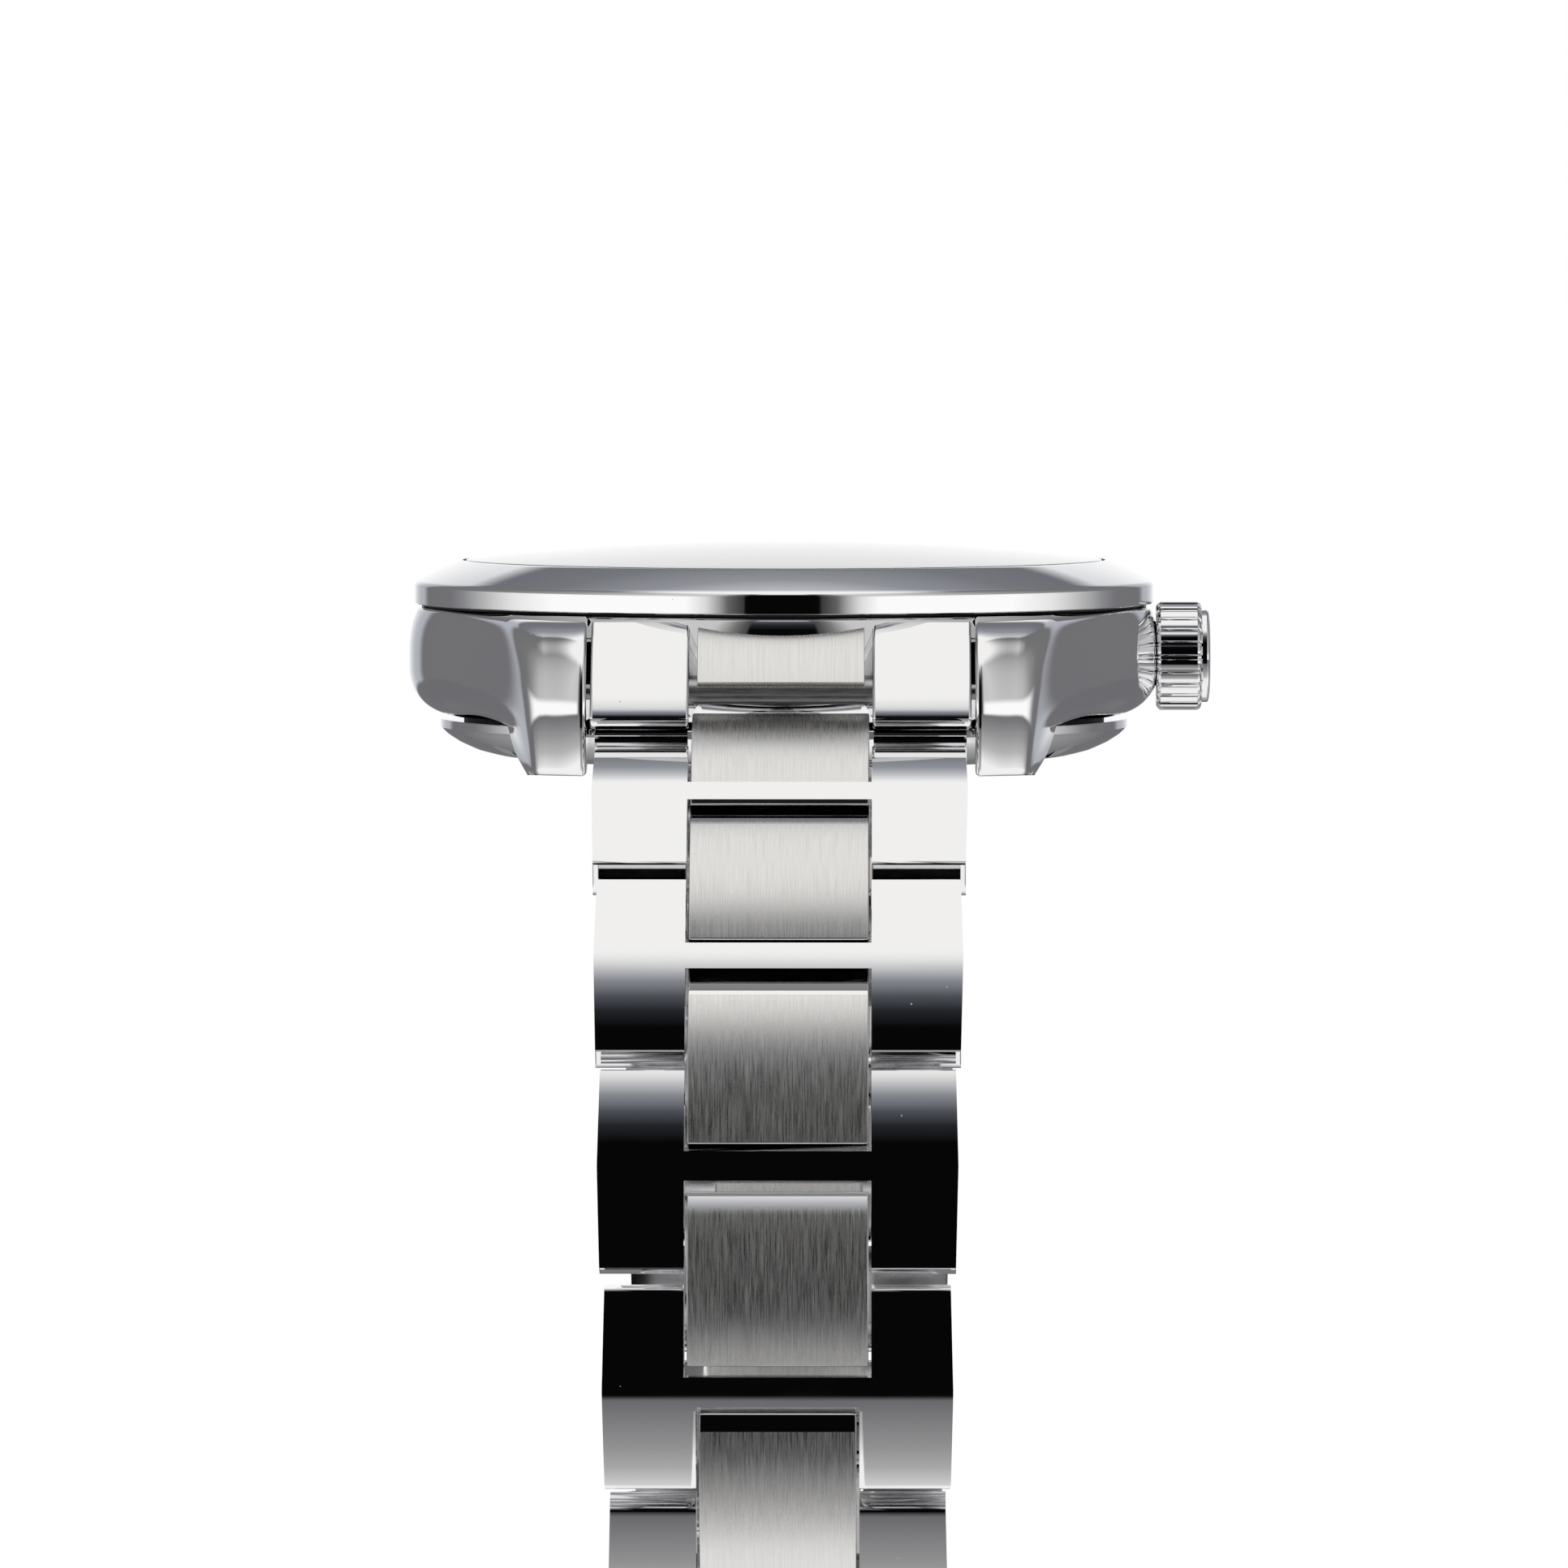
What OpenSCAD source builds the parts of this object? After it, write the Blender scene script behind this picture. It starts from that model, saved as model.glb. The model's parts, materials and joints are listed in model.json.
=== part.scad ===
// Round steel wristwatch on a folding-clasp link bracelet, dial up, the bracelet closed in a loop.
// Origin: centre of the flat face of the case back. +Z is the dial side, +X the crown side,
// -Y the 6 o'clock side. The loop hangs below the case and stands on the flat clasp cover.

/* [Case] */
// Radius of the case at its widest
case_r = 19.8; // [16.5:0.1:23.8]
// Height of the underside of the case above the case-back face
case_low = 2.3; // [2.2:0.1:3]
// Height of the top of the case, where the bezel sits
case_top = 8.1; // [7.9:0.1:9]
// Radius of the rounded lower edge of the case
case_edge_r = 2.1; // [1:0.1:2.4]
// Radius of the bulge of the upper flank
flank_r = 4.5; // [4:0.1:8]
// How far the flank falls back under the bezel
flank_in = 0.8; // [0.5:0.1:1.2]

/* [Bezel and crystal] */
// How far the bezel stands inside the widest case radius
bezel_inset = 0.3; // [0.1:0.1:0.6]
// Width of the bezel's sloping face
bezel_w = 2.55; // [2:0.05:3.5]
// Height of the upper edge of the bezel
bezel_top = 10.5; // [10.2:0.1:11]
// Height of the shoulder where the slope meets the vertical band
bezel_shoulder = 9.3; // [9.1:0.1:9.6]
// Depth of the groove between bezel and case
bezel_groove = 0.5; // [0.3:0.1:0.8]
// Width of the ledge that carries the crystal
ledge_w = 1.25; // [1:0.05:1.6]
// Thickness of the crystal gasket
gasket_t = 0.15; // [0.12:0.01:0.2]
// Height of the crystal's flat underside
crystal_low = 8.9; // [8.8:0.05:9]
// Rise of the crystal's dome above its rim
dome_h = 0.95; // [0.3:0.05:1.2]

/* [Case back] */
// Radius lost between the case and the case-back flange
back_inset = 1.65; // [1.5:0.05:2]
// Thickness of the case-back flange
back_flange_t = 0.47; // [0.4:0.01:0.6]
// Height of the top of the case-back flange
back_flange_top = 2.14; // [2:0.01:2.2]
// Radius of the flat face that rests on the wrist
back_flat_r = 13; // [11:0.1:13]
// Thickness of the case-back wall
back_wall = 1.0; // [0.8:0.05:1.1]
// Number of key slots around the case back
back_slots = 6; // [4:1:12]

/* [Lugs] */
// Gap between the lugs
lug_gap = 20; // [18:0.1:22]
// How far the lug tips reach past the case
lug_reach = 3.3; // [3:0.1:4]
// Width of a lug at its tip
lug_tip_w = 2.8; // [2.4:0.1:3.2]
// Radius of the curved lug top
lug_r = 5.5; // [5.2:0.1:6]
// Radius of the slanting face of an end link
end_face_r = 13; // [12:0.5:14]
// Radius of the outer side of a lug, seen from above
lug_side_r = 40; // [30:1:60]
// Radius of the hollow between a lug and the underside of the case
lug_hollow_r = 3.5; // [2.5:0.1:4]

/* [Crown] */
// Height of the crown's axis
crown_z = 5.4; // [5.2:0.1:5.6]
// Radius of the crown
crown_r = 2.87; // [2:0.05:3]
// Length of the crown's fluted rim
crown_l = 2.7; // [2:0.1:3.2]
// Number of flutes
crown_flutes = 24; // [16:1:32]
// How far the crown pulls out
crown_pull = 1.5; // [0.5:0.1:1.5]
// Radius of the winding stem
stem_r = 0.45; // [0.35:0.05:0.5]
// Outer radius of the crown tube
tube_r = 1.25; // [1.1:0.05:1.4]

/* [Dial and movement] */
// Thickness of the dial
dial_t = 0.4; // [0.3:0.05:0.45]
// Height of the underside of the dial
dial_low = 6.6; // [6.55:0.05:6.65]
// Width of the ring that holds the movement
holder_w = 2.8; // [2:0.1:3.2]
// Length of the hour markers
marker_l = 2.6; // [1.6:0.1:3.2]
// Radius of the post that carries the hands
post_r = 0.4; // [0.3:0.05:0.5]
// Thickness of a hand
hand_t = 0.18; // [0.12:0.01:0.2]
// Radius of the balance wheel
balance_r = 3.6; // [2.5:0.1:4]

/* [Bracelet] */
// Width of the bracelet at the case
link_w = 19.55; // [17.5:0.05:21.5]
// Width lost over each millimetre of bracelet
taper = 0.048; // [0.02:0.001:0.055]
// Distance between the pins of a centre link
c_pitch = 5.2; // [4.7:0.05:6.3]
// Distance between the pins of an H-shaped outer link
h_pitch = 5.55; // [5.3:0.05:6.7]
// Gap between the ends of two outer links
end_gap = 0.55; // [0.45:0.05:0.9]
// Height of an outer link above its pin line
crest_h = 1.95; // [1.8:0.05:2.2]
// Depth of an outer link below its pin line
inner_h = 1.75; // [1.6:0.05:1.8]
// Radius of an outer link's convex outer face, along the bracelet
crest_r = 14.6; // [12:0.1:25]
// Radius of the inner corners of an outer link
heel_r = 1.6; // [1.2:0.05:1.6]
// Bevel on the ends of an outer link
link_bevel = 0.45; // [0.2:0.05:0.5]
// Radius of the half-round ends of a centre link
round_r = 1.77; // [1.6:0.01:1.8]
// How far the flat outer face of a centre link runs past its pins
face_reach = 1.3; // [1:0.05:1.5]
// Width of the upper centre links
centre_w = 9.1; // [7.5:0.1:10.5]
// Width of the centre links nearer the clasp
centre_w_low = 7.9; // [6.6:0.1:8.2]
// Number of wide centre links on each side
wide_links = 4; // [0:1:7]
// Clearance on each side of a centre link
slot_clear = 0.15; // [0.1:0.05:0.3]
// Clearance between a centre link's end and the bar of an outer link
bar_clear = 0.25; // [0.15:0.05:0.35]
// Radius of a bracelet pin
pin_r = 0.6; // [0.5:0.05:0.8]
// Clearance around a pin where a link turns on it
pin_clear = 0.05; // [0.02:0.01:0.08]
// Clearance around a pin where an arm holds it
pin_seat = 0.01; // [0.01:0.005:0.02]

/* [Loop] */
// How far the first pin lies outside the case
first_pin_out = 1.2; // [1.1:0.05:1.3]
// Height of the first pin
first_pin_z = 1.5; // [1.4:0.05:1.6]
// Angle of the first link from the vertical
first_tilt = 67.5; // [60:0.5:68]
// Bend at each of the first three hinges
bend_top = 10.9; // [9:0.1:11]
// Bend at each further hinge
bend_low = 10.05; // [9:0.05:10.1]

/* [Clasp] */
// Depth of the clasp cover's face below its spring bar
cover_drop = 2.8; // [2.7:0.1:3.2]
// Height of the clasp cover's walls
cover_h = 4.3; // [4:0.1:4.6]
// Thickness of the clasp cover
cover_t = 0.9; // [0.7:0.05:1]
// Width of the clasp cover
cover_w = 16.6; // [16:0.1:18.5]
// Thickness of a folding blade
blade_t = 1.0; // [0.8:0.05:1.1]
// Width of the narrow blade
blade_w = 7.6; // [5.5:0.1:7.8]
// Width of one rail of the wide blade
rail_w = 1.8; // [1.4:0.1:1.9]
// Travel of a clasp button
button_travel = 0.7; // [0.4:0.05:0.7]

/* [Hidden] */
sides = 7;
front_nodes = [for (i = [1:sides]) each [str("centre_link_6_", i), str("h_link_6_", i)]];
back_nodes = [for (i = [1:sides]) each [str("centre_link_12_", i), str("h_link_12_", i)]];

// case and bezel
bezel_r = case_r - bezel_inset;
bezel_in_r = bezel_r - bezel_w;
cavity_r = bezel_in_r - ledge_w;
crystal_r = bezel_in_r - gasket_t;
case_top_r = case_r - flank_in;
edge_c_r = case_r - case_edge_r;
edge_c_z = case_low + case_edge_r;
back_r = case_r - back_inset;
collar_w = 1.0;
collar_r = cavity_r + 0.3;
collar_top = 3.2;
seat_clear = 0.05;
oring_r = collar_r + 0.9;
oring_w = 0.8;
oring_h = 0.35;

// lugs and end links
lug_tip_y = case_r + lug_reach;
lug_c_y = lug_tip_y - lug_r;
lug_c_z = case_top - 0.1 - lug_r;
lug_side_x = lug_gap / 2 + lug_tip_w;
bar_r = 0.65;
bar_y = lug_tip_y - 2.0;
slot_top = first_pin_z + round_r + 0.63;
slot_mouth = slot_top + 0.9;
bar_z = slot_top + 0.4;
bar_tip_r = 0.4;
end_clear = 0.2;
end_face_c = [-lug_tip_y + 11.05, case_top - 11.53];
end_w = lug_gap - 2 * end_clear;
end_slot_w = centre_w + 2 * slot_clear;

// movement
movement_r = cavity_r - holder_w;
holder_top = dial_low;
plate_low = 3.7;
plate_top = 6.2;
dial_top = dial_low + dial_t;
dial_r = cavity_r - 0.1;
post_top = 8.4;
hub_clear = 0.05;

// bracelet
link_len = h_pitch + c_pitch - end_gap;
h_bar = h_pitch - 2 * (round_r + bar_clear);
end_sag = crest_r - sqrt(crest_r * crest_r - link_len * link_len / 4);
links = 2 * sides;
function tilt(i) = first_tilt - bend_top * min(i, 3) - bend_low * max(i - 3, 0);
function pitch(i) = i % 2 == 0 ? c_pitch : h_pitch;
function along(i) = i == 0 ? 0 : along(i - 1) + pitch(i - 1);
function pin_at(i) = i == 0
  ? [-case_r - first_pin_out, first_pin_z]
  : pin_at(i - 1) - pitch(i - 1) * [sin(tilt(i - 1)), cos(tilt(i - 1))];
function width_at(s) = link_w - taper * s;
function centre_width(k) = k <= wide_links ? centre_w : centre_w_low;

// clasp, laid out from the last pins of the two sides
cover_pin = pin_at(links + 1);
tail_pin = [-pin_at(links).x, pin_at(links).y];
cover_z = cover_pin.y - cover_drop;
floor_z = cover_z + cover_t;
cover_y0 = cover_pin.x - 2.0;
cover_y1 = tail_pin.x - 3.4;
hinge_z = cover_pin.y - 0.2;
fold_y = cover_pin.x + 4.3;
hinge_y = cover_y1 - 1.8;
knuckle_r = 1.15;
blade_gap = 0.3;
rail_x = blade_w / 2 + blade_gap;
cover_in_w = cover_w - 2 * cover_t;
button_y = 3;
button_l = 5;
button_h = 1.5;
tail_r = 1.0;

// a profile drawn in Y and Z, run along X
module along_x(w) {
  rotate([90, 0, 90]) linear_extrude(w, center = true) children();
}

// a profile drawn in X and Z, run along Y
module along_y(l) {
  rotate([90, 0, 0]) linear_extrude(l, center = true) children();
}

// a round bar along X
module bar_x(r, l) {
  rotate([0, 90, 0]) cylinder(h = l, r = r, center = true, $fn = 48);
}

// a flat ring or disc
module ring(outer, inner, low, high) {
  translate([0, 0, low]) linear_extrude(high - low) difference() {
    circle(outer, $fn = 96);
    if (inner > 0) circle(inner, $fn = 96);
  }
}

// children placed on link i of the 6 o'clock side, its upper pin at the origin, hanging along -Z
module on_link(i) {
  translate([0, pin_at(i).x, pin_at(i).y]) rotate([-tilt(i), 0, 0]) children();
}

// ---- case ----

module case_profile() {
  intersection() {
    translate([case_r - flank_r, edge_c_z + 1.1]) circle(flank_r, $fn = 96);
    translate([cavity_r, edge_c_z + 1.1]) square([case_r - cavity_r, case_top - edge_c_z - 1.1]);
  }
  translate([cavity_r, edge_c_z]) square([case_r - cavity_r, 1.1]);
  translate([cavity_r, case_low]) square([edge_c_r - cavity_r, case_edge_r]);
  intersection() {
    translate([edge_c_r, edge_c_z]) circle(case_edge_r, $fn = 64);
    translate([edge_c_r, case_low]) square(case_edge_r);
  }
}

// one lug at +X, -Y
module lug() {
  intersection() {
    along_x(60) difference() {
      union() {
        translate([-lug_c_y, lug_c_z]) circle(lug_r, $fn = 96);
        translate([-lug_tip_y, 0]) square([lug_tip_y - lug_c_y, lug_c_z]);
        translate([-lug_c_y, 0]) square([lug_r, case_top - 0.1]);
      }
      polygon([[-lug_tip_y + 1.4, 0], [-lug_c_y + 4.2, case_low + 0.3], [0, case_low + 0.3], [0, -1],
        [-lug_tip_y + 1.4, -1]]);
      translate([-lug_tip_y, 0]) rotate(45) square(0.7, center = true);
    }
    along_y(60) difference() {
      translate([lug_gap / 2, 0]) square([10, case_top - 0.1]);
      translate([lug_side_x + lug_hollow_r, -0.75]) circle(lug_hollow_r, $fn = 64);
      translate([lug_side_x + lug_hollow_r, -1]) square([10, case_low + 1.3]);
    }
    linear_extrude(case_top) intersection() {
      translate([lug_gap / 2, -lug_tip_y]) square([12, lug_tip_y - 10]);
      translate([lug_side_x - lug_side_r + 3.9, -6]) circle(lug_side_r, $fn = 128);
    }
  }
}

module case_body() color("silver") difference() {
  union() {
    rotate_extrude($fn = 128) case_profile();
    for (a = [0, 1], b = [0, 1]) mirror([a, 0, 0]) mirror([0, b, 0]) lug();
  }
  ring(cavity_r, 0, case_low - 3, case_top + 1);
  ring(collar_r + seat_clear, 0, case_low - 3, collar_top + 0.1);
  ring(oring_r, oring_r - oring_w, case_low - 1, case_low + oring_h);
  translate([0, 0, crown_z]) rotate([0, 90, 0]) cylinder(h = case_r + 5, r = tube_r, $fn = 48);
  translate([case_r - 0.2, 0, crown_z]) rotate([0, 90, 0]) cylinder(h = 4, r = crown_r + 0.2, $fn = 64);
  for (s = [-1, 1]) translate([0, s * bar_y, bar_z]) bar_x(bar_tip_r, lug_gap + 2.4);
}

module bezel() color("lightsteelblue") rotate_extrude($fn = 128) polygon([
  [bezel_in_r, bezel_top], [bezel_r - 0.25, bezel_shoulder + 0.13], [bezel_r, bezel_shoulder - 0.1],
  [bezel_r, case_top + 0.3], [bezel_r - bezel_groove, case_top + 0.3],
  [bezel_r - bezel_groove, case_top], [cavity_r, case_top], [cavity_r, crystal_low],
  [bezel_in_r, crystal_low]
]);

module crystal() color("aliceblue") rotate_extrude($fn = 128) intersection() {
  translate([0, crystal_low]) square([crystal_r, bezel_top - crystal_low + dome_h]);
  dome_r = (crystal_r * crystal_r + dome_h * dome_h) / (2 * dome_h);
  translate([0, bezel_top + dome_h - dome_r]) circle(dome_r, $fn = 360);
}

module crystal_gasket() color("dimgray") ring(bezel_in_r, crystal_r, crystal_low, bezel_top - 0.15);

module chapter_ring() color("gainsboro") rotate_extrude($fn = 96) polygon([
  [cavity_r - 0.05, dial_top], [cavity_r - 0.05, crystal_low - 0.05],
  [cavity_r - 0.25, crystal_low - 0.05], [cavity_r - 0.9, dial_top]
]);

module case_back() color("silver") difference() {
  union() {
    rotate_extrude($fn = 128) polygon([
      [0, 0], [back_flat_r, 0], [back_flat_r + 1.8, 0.3], [back_r - 1.5, 0.9],
      [back_r, back_flange_top - back_flange_t], [back_r, back_flange_top],
      [0, back_flange_top]
    ]);
    ring(collar_r, collar_r - collar_w, back_flange_top, collar_top);
  }
  ring(collar_r - collar_w, 0, back_wall, collar_top + 1);
  for (a = [1:back_slots]) rotate(a * 360 / back_slots + 30)
    translate([back_r - 1.1, 0, 0.5]) cube([2.0, 1.6, 1.8], center = true);
}

module case_back_gasket() color("dimgray")
  ring(oring_r, oring_r - oring_w, back_flange_top, case_low + oring_h);

module crown_tube() color("silver") translate([0, 0, crown_z]) rotate([0, 90, 0]) difference() {
  translate([0, 0, cavity_r]) cylinder(h = case_r + 0.9 - cavity_r, r = tube_r, $fn = 48);
  translate([0, 0, cavity_r - 1]) cylinder(h = case_r + 3 - cavity_r, r = stem_r + 0.15, $fn = 48);
}

module spring_bars() color("silver") for (s = [-1, 1]) translate([0, s * bar_y, bar_z]) {
  bar_x(bar_r, end_w);
  bar_x(bar_tip_r, lug_gap + 2);
}

// ---- crown and stem ----

module crown() color("silver") translate([0, 0, crown_z]) rotate([0, 90, 0]) difference() {
  union() {
    translate([0, 0, case_r - 0.1]) cylinder(h = crown_l - 0.3, r = crown_r, $fn = 72);
    translate([0, 0, case_r - 0.1 + crown_l - 0.3])
      rotate_extrude($fn = 72) polygon([[0, 0], [crown_r, 0], [crown_r - 0.3, 0.3], [0, 0.55]]);
  }
  translate([0, 0, case_r - 1]) cylinder(h = 2.2, r = tube_r + 0.1, $fn = 48);
  for (a = [1:crown_flutes]) rotate(a * 360 / crown_flutes)
    translate([crown_r + 0.08, 0, case_r + 0.2]) cylinder(h = crown_l + 1, r = 0.22, $fn = 24);
}

lever_x = movement_r - 4;

module crown_stem() color("silver") translate([0, 0, crown_z]) rotate([0, 90, 0]) difference() {
  translate([0, 0, lever_x - 2.5]) cylinder(h = case_r + 1.2 - lever_x + 2.5, r = stem_r, $fn = 32);
  translate([0, 0, lever_x - 0.45]) difference() {
    cylinder(h = 0.9, r = stem_r + 1, $fn = 32);
    translate([0, 0, -1]) cylinder(h = 3, r = stem_r - 0.15, $fn = 32);
  }
}

// fork that sits in the stem's groove and follows it in and out
module setting_lever() color("gold") difference() {
  translate([lever_x, 0, crown_z]) cube([0.7, 2.4, 1.3], center = true);
  translate([lever_x, 0, crown_z]) bar_x(stem_r - 0.15 + 0.05, 3);
  translate([lever_x, -1, crown_z]) cube([1, 2, 2 * (stem_r - 0.1)], center = true);
}

// ---- dial and movement ----

module dial() color("white") difference() {
  ring(dial_r, 0, dial_low, dial_top);
  ring(post_r + 0.3, 0, dial_low - 1, dial_top + 1);
  translate([movement_r - 2.2, 0, dial_low]) cube([2.4, 1.9, 2], center = true);
}

module hour_markers() color("silver") for (h = [1:12]) rotate(90 - 30 * h)
  translate([dial_r - 1.3 - marker_l / 2, 0, dial_top + 0.2])
    if (h != 3) cube([marker_l, h % 3 == 0 ? 1.1 : 0.75, 0.4], center = true);
    else translate([marker_l / 2 - 0.35, 0, 0]) cube([0.7, 1.1, 0.4], center = true);

module movement_holder() color("whitesmoke") difference() {
  ring(cavity_r - 0.1, movement_r, collar_top + 0.2, holder_top);
  translate([0, 0, crown_z]) rotate([0, 90, 0]) cylinder(h = case_r, r = stem_r + 0.2, $fn = 32);
}

balance_at = [-(movement_r - balance_r - 1.3), 0.5];
rotor_hub_r = 1.5;

module main_plate() color("goldenrod") difference() {
  union() {
    ring(movement_r, 0, plate_low, plate_top);
    ring(post_r, 0, plate_top - 0.1, post_top);
  }
  translate([0, 0, crown_z]) rotate([0, 90, 0]) cylinder(h = case_r, r = stem_r + 0.2, $fn = 32);
  translate([lever_x + crown_pull / 2, 0, crown_z + 1]) cube([crown_pull + 1.3, 3, 4], center = true);
  translate([balance_at.x, balance_at.y, plate_low - 1]) cylinder(h = 2.2, r = balance_r + 0.35, $fn = 64);
  translate([balance_at.x, balance_at.y, plate_low]) cylinder(h = 2, r = 0.2, $fn = 32);
}

module movement_bridges() color("darkgoldenrod") difference() {
  union() {
    difference() {
      ring(movement_r - 0.3, 0, 2.3, plate_low);
      translate([balance_at.x, balance_at.y, 2]) cylinder(h = 3, r = balance_r + 0.35, $fn = 64);
    }
    translate([balance_at.x, balance_at.y, 2.55]) cube([1.8, 2 * balance_r + 1.2, 0.5], center = true);
    ring(rotor_hub_r, 0, back_wall + 0.15, 2.4);
  }
  translate([balance_at.x, balance_at.y, 2]) cylinder(h = 3, r = 0.2, $fn = 32);
}

module rotor() color("lightgray") difference() {
  union() {
    intersection() {
      ring(movement_r - 0.4, 0, 1.3, 1.75);
      translate([0, -20, 0]) cube([40, 40, 10]);
    }
    intersection() {
      ring(movement_r - 0.4, movement_r - 2.9, 1.3, 2.15);
      translate([0, -20, 0]) cube([40, 40, 10]);
    }
    ring(rotor_hub_r + 1.1, 0, 1.3, 2.05);
  }
  ring(rotor_hub_r + hub_clear, 0, 0, 5);
}

module balance_wheel() color("gold") translate([balance_at.x, balance_at.y, 0]) {
  ring(balance_r, balance_r - 0.5, 3.2, 3.7);
  translate([0, 0, 3.45]) for (a = [0, 60, 120]) rotate(a)
    cube([2 * balance_r - 0.6, 0.4, 0.25], center = true);
  ring(0.16, 0, 2.4, 5.5);
}

module date_disc() color("white") ring(movement_r - 0.4, movement_r - 4, plate_top + 0.08, dial_low - 0.1);

// a flat tapered hand with its hub at the origin, pointing along +Y
module hand(l, w, tail, hub, low) {
  difference() {
    union() {
      translate([0, 0, low]) linear_extrude(hand_t)
        polygon([[-w * 0.35, -tail], [w * 0.35, -tail], [w / 2, l * 0.25], [0.12, l], [-0.12, l], [-w / 2, l * 0.25]]);
      ring(hub, 0, low, low + hand_t + 0.06);
    }
    ring(post_r + hub_clear, 0, low - 1, low + 2);
  }
}

module hour_hand() color("silver") rotate(57.5) hand(8.6, 1.5, 2.2, 1.1, dial_top + 0.3);

module minute_hand() color("silver") rotate(-54) hand(12.9, 1.2, 2.6, 1.0, dial_top + 0.65);

module seconds_hand() color("silver") rotate(-180) hand(13.4, 0.4, 4.2, 0.85, dial_top + 1.0);

// ---- bracelet ----

module end_link() color("silver") difference() {
  along_x(end_w) union() {
    intersection() {
      translate(end_face_c) circle(end_face_r, $fn = 160);
      translate([-lug_tip_y, first_pin_z + 0.5])
        square([lug_r + 3, case_top - 0.3 - first_pin_z - 0.5]);
    }
    translate([-lug_tip_y + end_clear, first_pin_z + 0.5])
      square([lug_reach, lug_c_z - first_pin_z - 0.5]);
    translate(pin_at(0)) circle(1.45, $fn = 48);
    translate([-lug_tip_y + 0.9, first_pin_z]) square([lug_reach, 1]);
  }
  translate([0, 0, -5]) cylinder(h = 20, r = case_r + 0.1, $fn = 128);
  along_x(end_slot_w) polygon([[-lug_tip_y - 1, -5], [-lug_tip_y - 1, slot_mouth],
    [-lug_tip_y + 1.15, slot_mouth], [-lug_tip_y + 1.4, slot_top],
    [-case_r + 1, slot_top], [-case_r + 1, -5]]);
  for (s = [-1, 1]) translate([s * (centre_w_low + 0.85) / 2, 0, 0]) along_x(0.2) difference() {
    translate(end_face_c) circle(end_face_r + 1, $fn = 96);
    translate(end_face_c) circle(end_face_r - 0.35, $fn = 96);
    translate([-lug_tip_y - 5, -15]) square([30, slot_top + 15]);
  }
  translate([0, -bar_y, bar_z]) bar_x(bar_r, lug_gap);
  translate([0, pin_at(0).x, pin_at(0).y]) bar_x(pin_r + pin_seat, end_w - 1.6 + 2 * pin_seat);
}

// pin of an end link, held in its side blocks
module end_pin() color("gray") translate([0, pin_at(0).x, pin_at(0).y]) bar_x(pin_r, end_w - 1.6);

module end_link_6() {
  end_link();
  end_pin();
}

module end_link_12() mirror([0, 1, 0]) end_link_6();

module h_profile() translate([0, -h_pitch / 2]) difference() {
  intersection() {
    translate([crest_r - crest_h, 0]) circle(crest_r, $fn = 128);
    union() {
      translate([-crest_h, -link_len / 2]) square([crest_h + inner_h - heel_r, link_len]);
      translate([-crest_h, -link_len / 2 + heel_r]) square([crest_h + inner_h, link_len - 2 * heel_r]);
      for (s = [-1, 1]) translate([inner_h - heel_r, s * (link_len / 2 - heel_r)]) circle(heel_r, $fn = 48);
    }
  }
  for (s = [-1, 1]) translate([end_sag - crest_h, s * link_len / 2])
    rotate(45) square(link_bevel * sqrt(2), center = true);
}

// outer link k: two arms and a bar, with a slot at each end for the centre links
module h_link(k, slot_up, slot_low, lower_pin = true) {
  s_top = along(2 * k - 1);
  w_mid = width_at(s_top + h_pitch / 2);
  slope = taper * link_len / 2;
  color("silver") difference() {
    intersection() {
      along_x(w_mid + 4) h_profile();
      along_y(12) translate([0, -h_pitch / 2]) polygon([
        [-w_mid / 2 - slope / 2, link_len], [w_mid / 2 + slope / 2, link_len],
        [w_mid / 2 + slope / 2, link_len / 2], [w_mid / 2 - slope / 2, -link_len / 2],
        [w_mid / 2 - slope / 2, -link_len], [-w_mid / 2 + slope / 2, -link_len],
        [-w_mid / 2 + slope / 2, -link_len / 2], [-w_mid / 2 - slope / 2, link_len / 2]
      ]);
    }
    translate([-slot_up / 2, -5, -h_pitch / 2 + h_bar / 2]) cube([slot_up, 10, 10]);
    translate([-slot_low / 2, -5, -h_pitch / 2 - h_bar / 2 - 10]) cube([slot_low, 10, 10]);
    bar_x(pin_r + pin_seat, w_mid + 4);
    translate([0, 0, -h_pitch]) bar_x(pin_r + pin_seat, w_mid + 4);
  }
  color("gray") {
    bar_x(pin_r, w_mid - 0.5);
    if (lower_pin) translate([0, 0, -h_pitch]) bar_x(pin_r, w_mid - 0.5);
  }
}

// centre link: flat outside with bevelled ends, half-round inside, and a bore at each end
module centre_link(w) color("lightgray") difference() {
  along_x(w) union() {
    for (z = [0, -c_pitch]) translate([0, z]) circle(round_r, $fn = 48);
    translate([-round_r, -c_pitch]) square([2 * round_r, c_pitch]);
    polygon([[0, round_r], [-face_reach, round_r], [-round_r, face_reach],
      [-round_r, -c_pitch - face_reach], [-face_reach, -c_pitch - round_r], [0, -c_pitch - round_r]]);
  }
  bar_x(pin_r + pin_clear, w + 2);
  translate([0, 0, -c_pitch]) bar_x(pin_r + pin_clear, w + 2);
}

module front_centre(k) on_link(2 * k - 2) centre_link(centre_width(k));

module front_h(k, lower_pin = true) on_link(2 * k - 1)
  h_link(k, centre_width(k) + 2 * slot_clear, centre_width(k + 1) + 2 * slot_clear, lower_pin);

// ---- clasp ----

wide_x = cover_in_w - 0.6;

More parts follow.
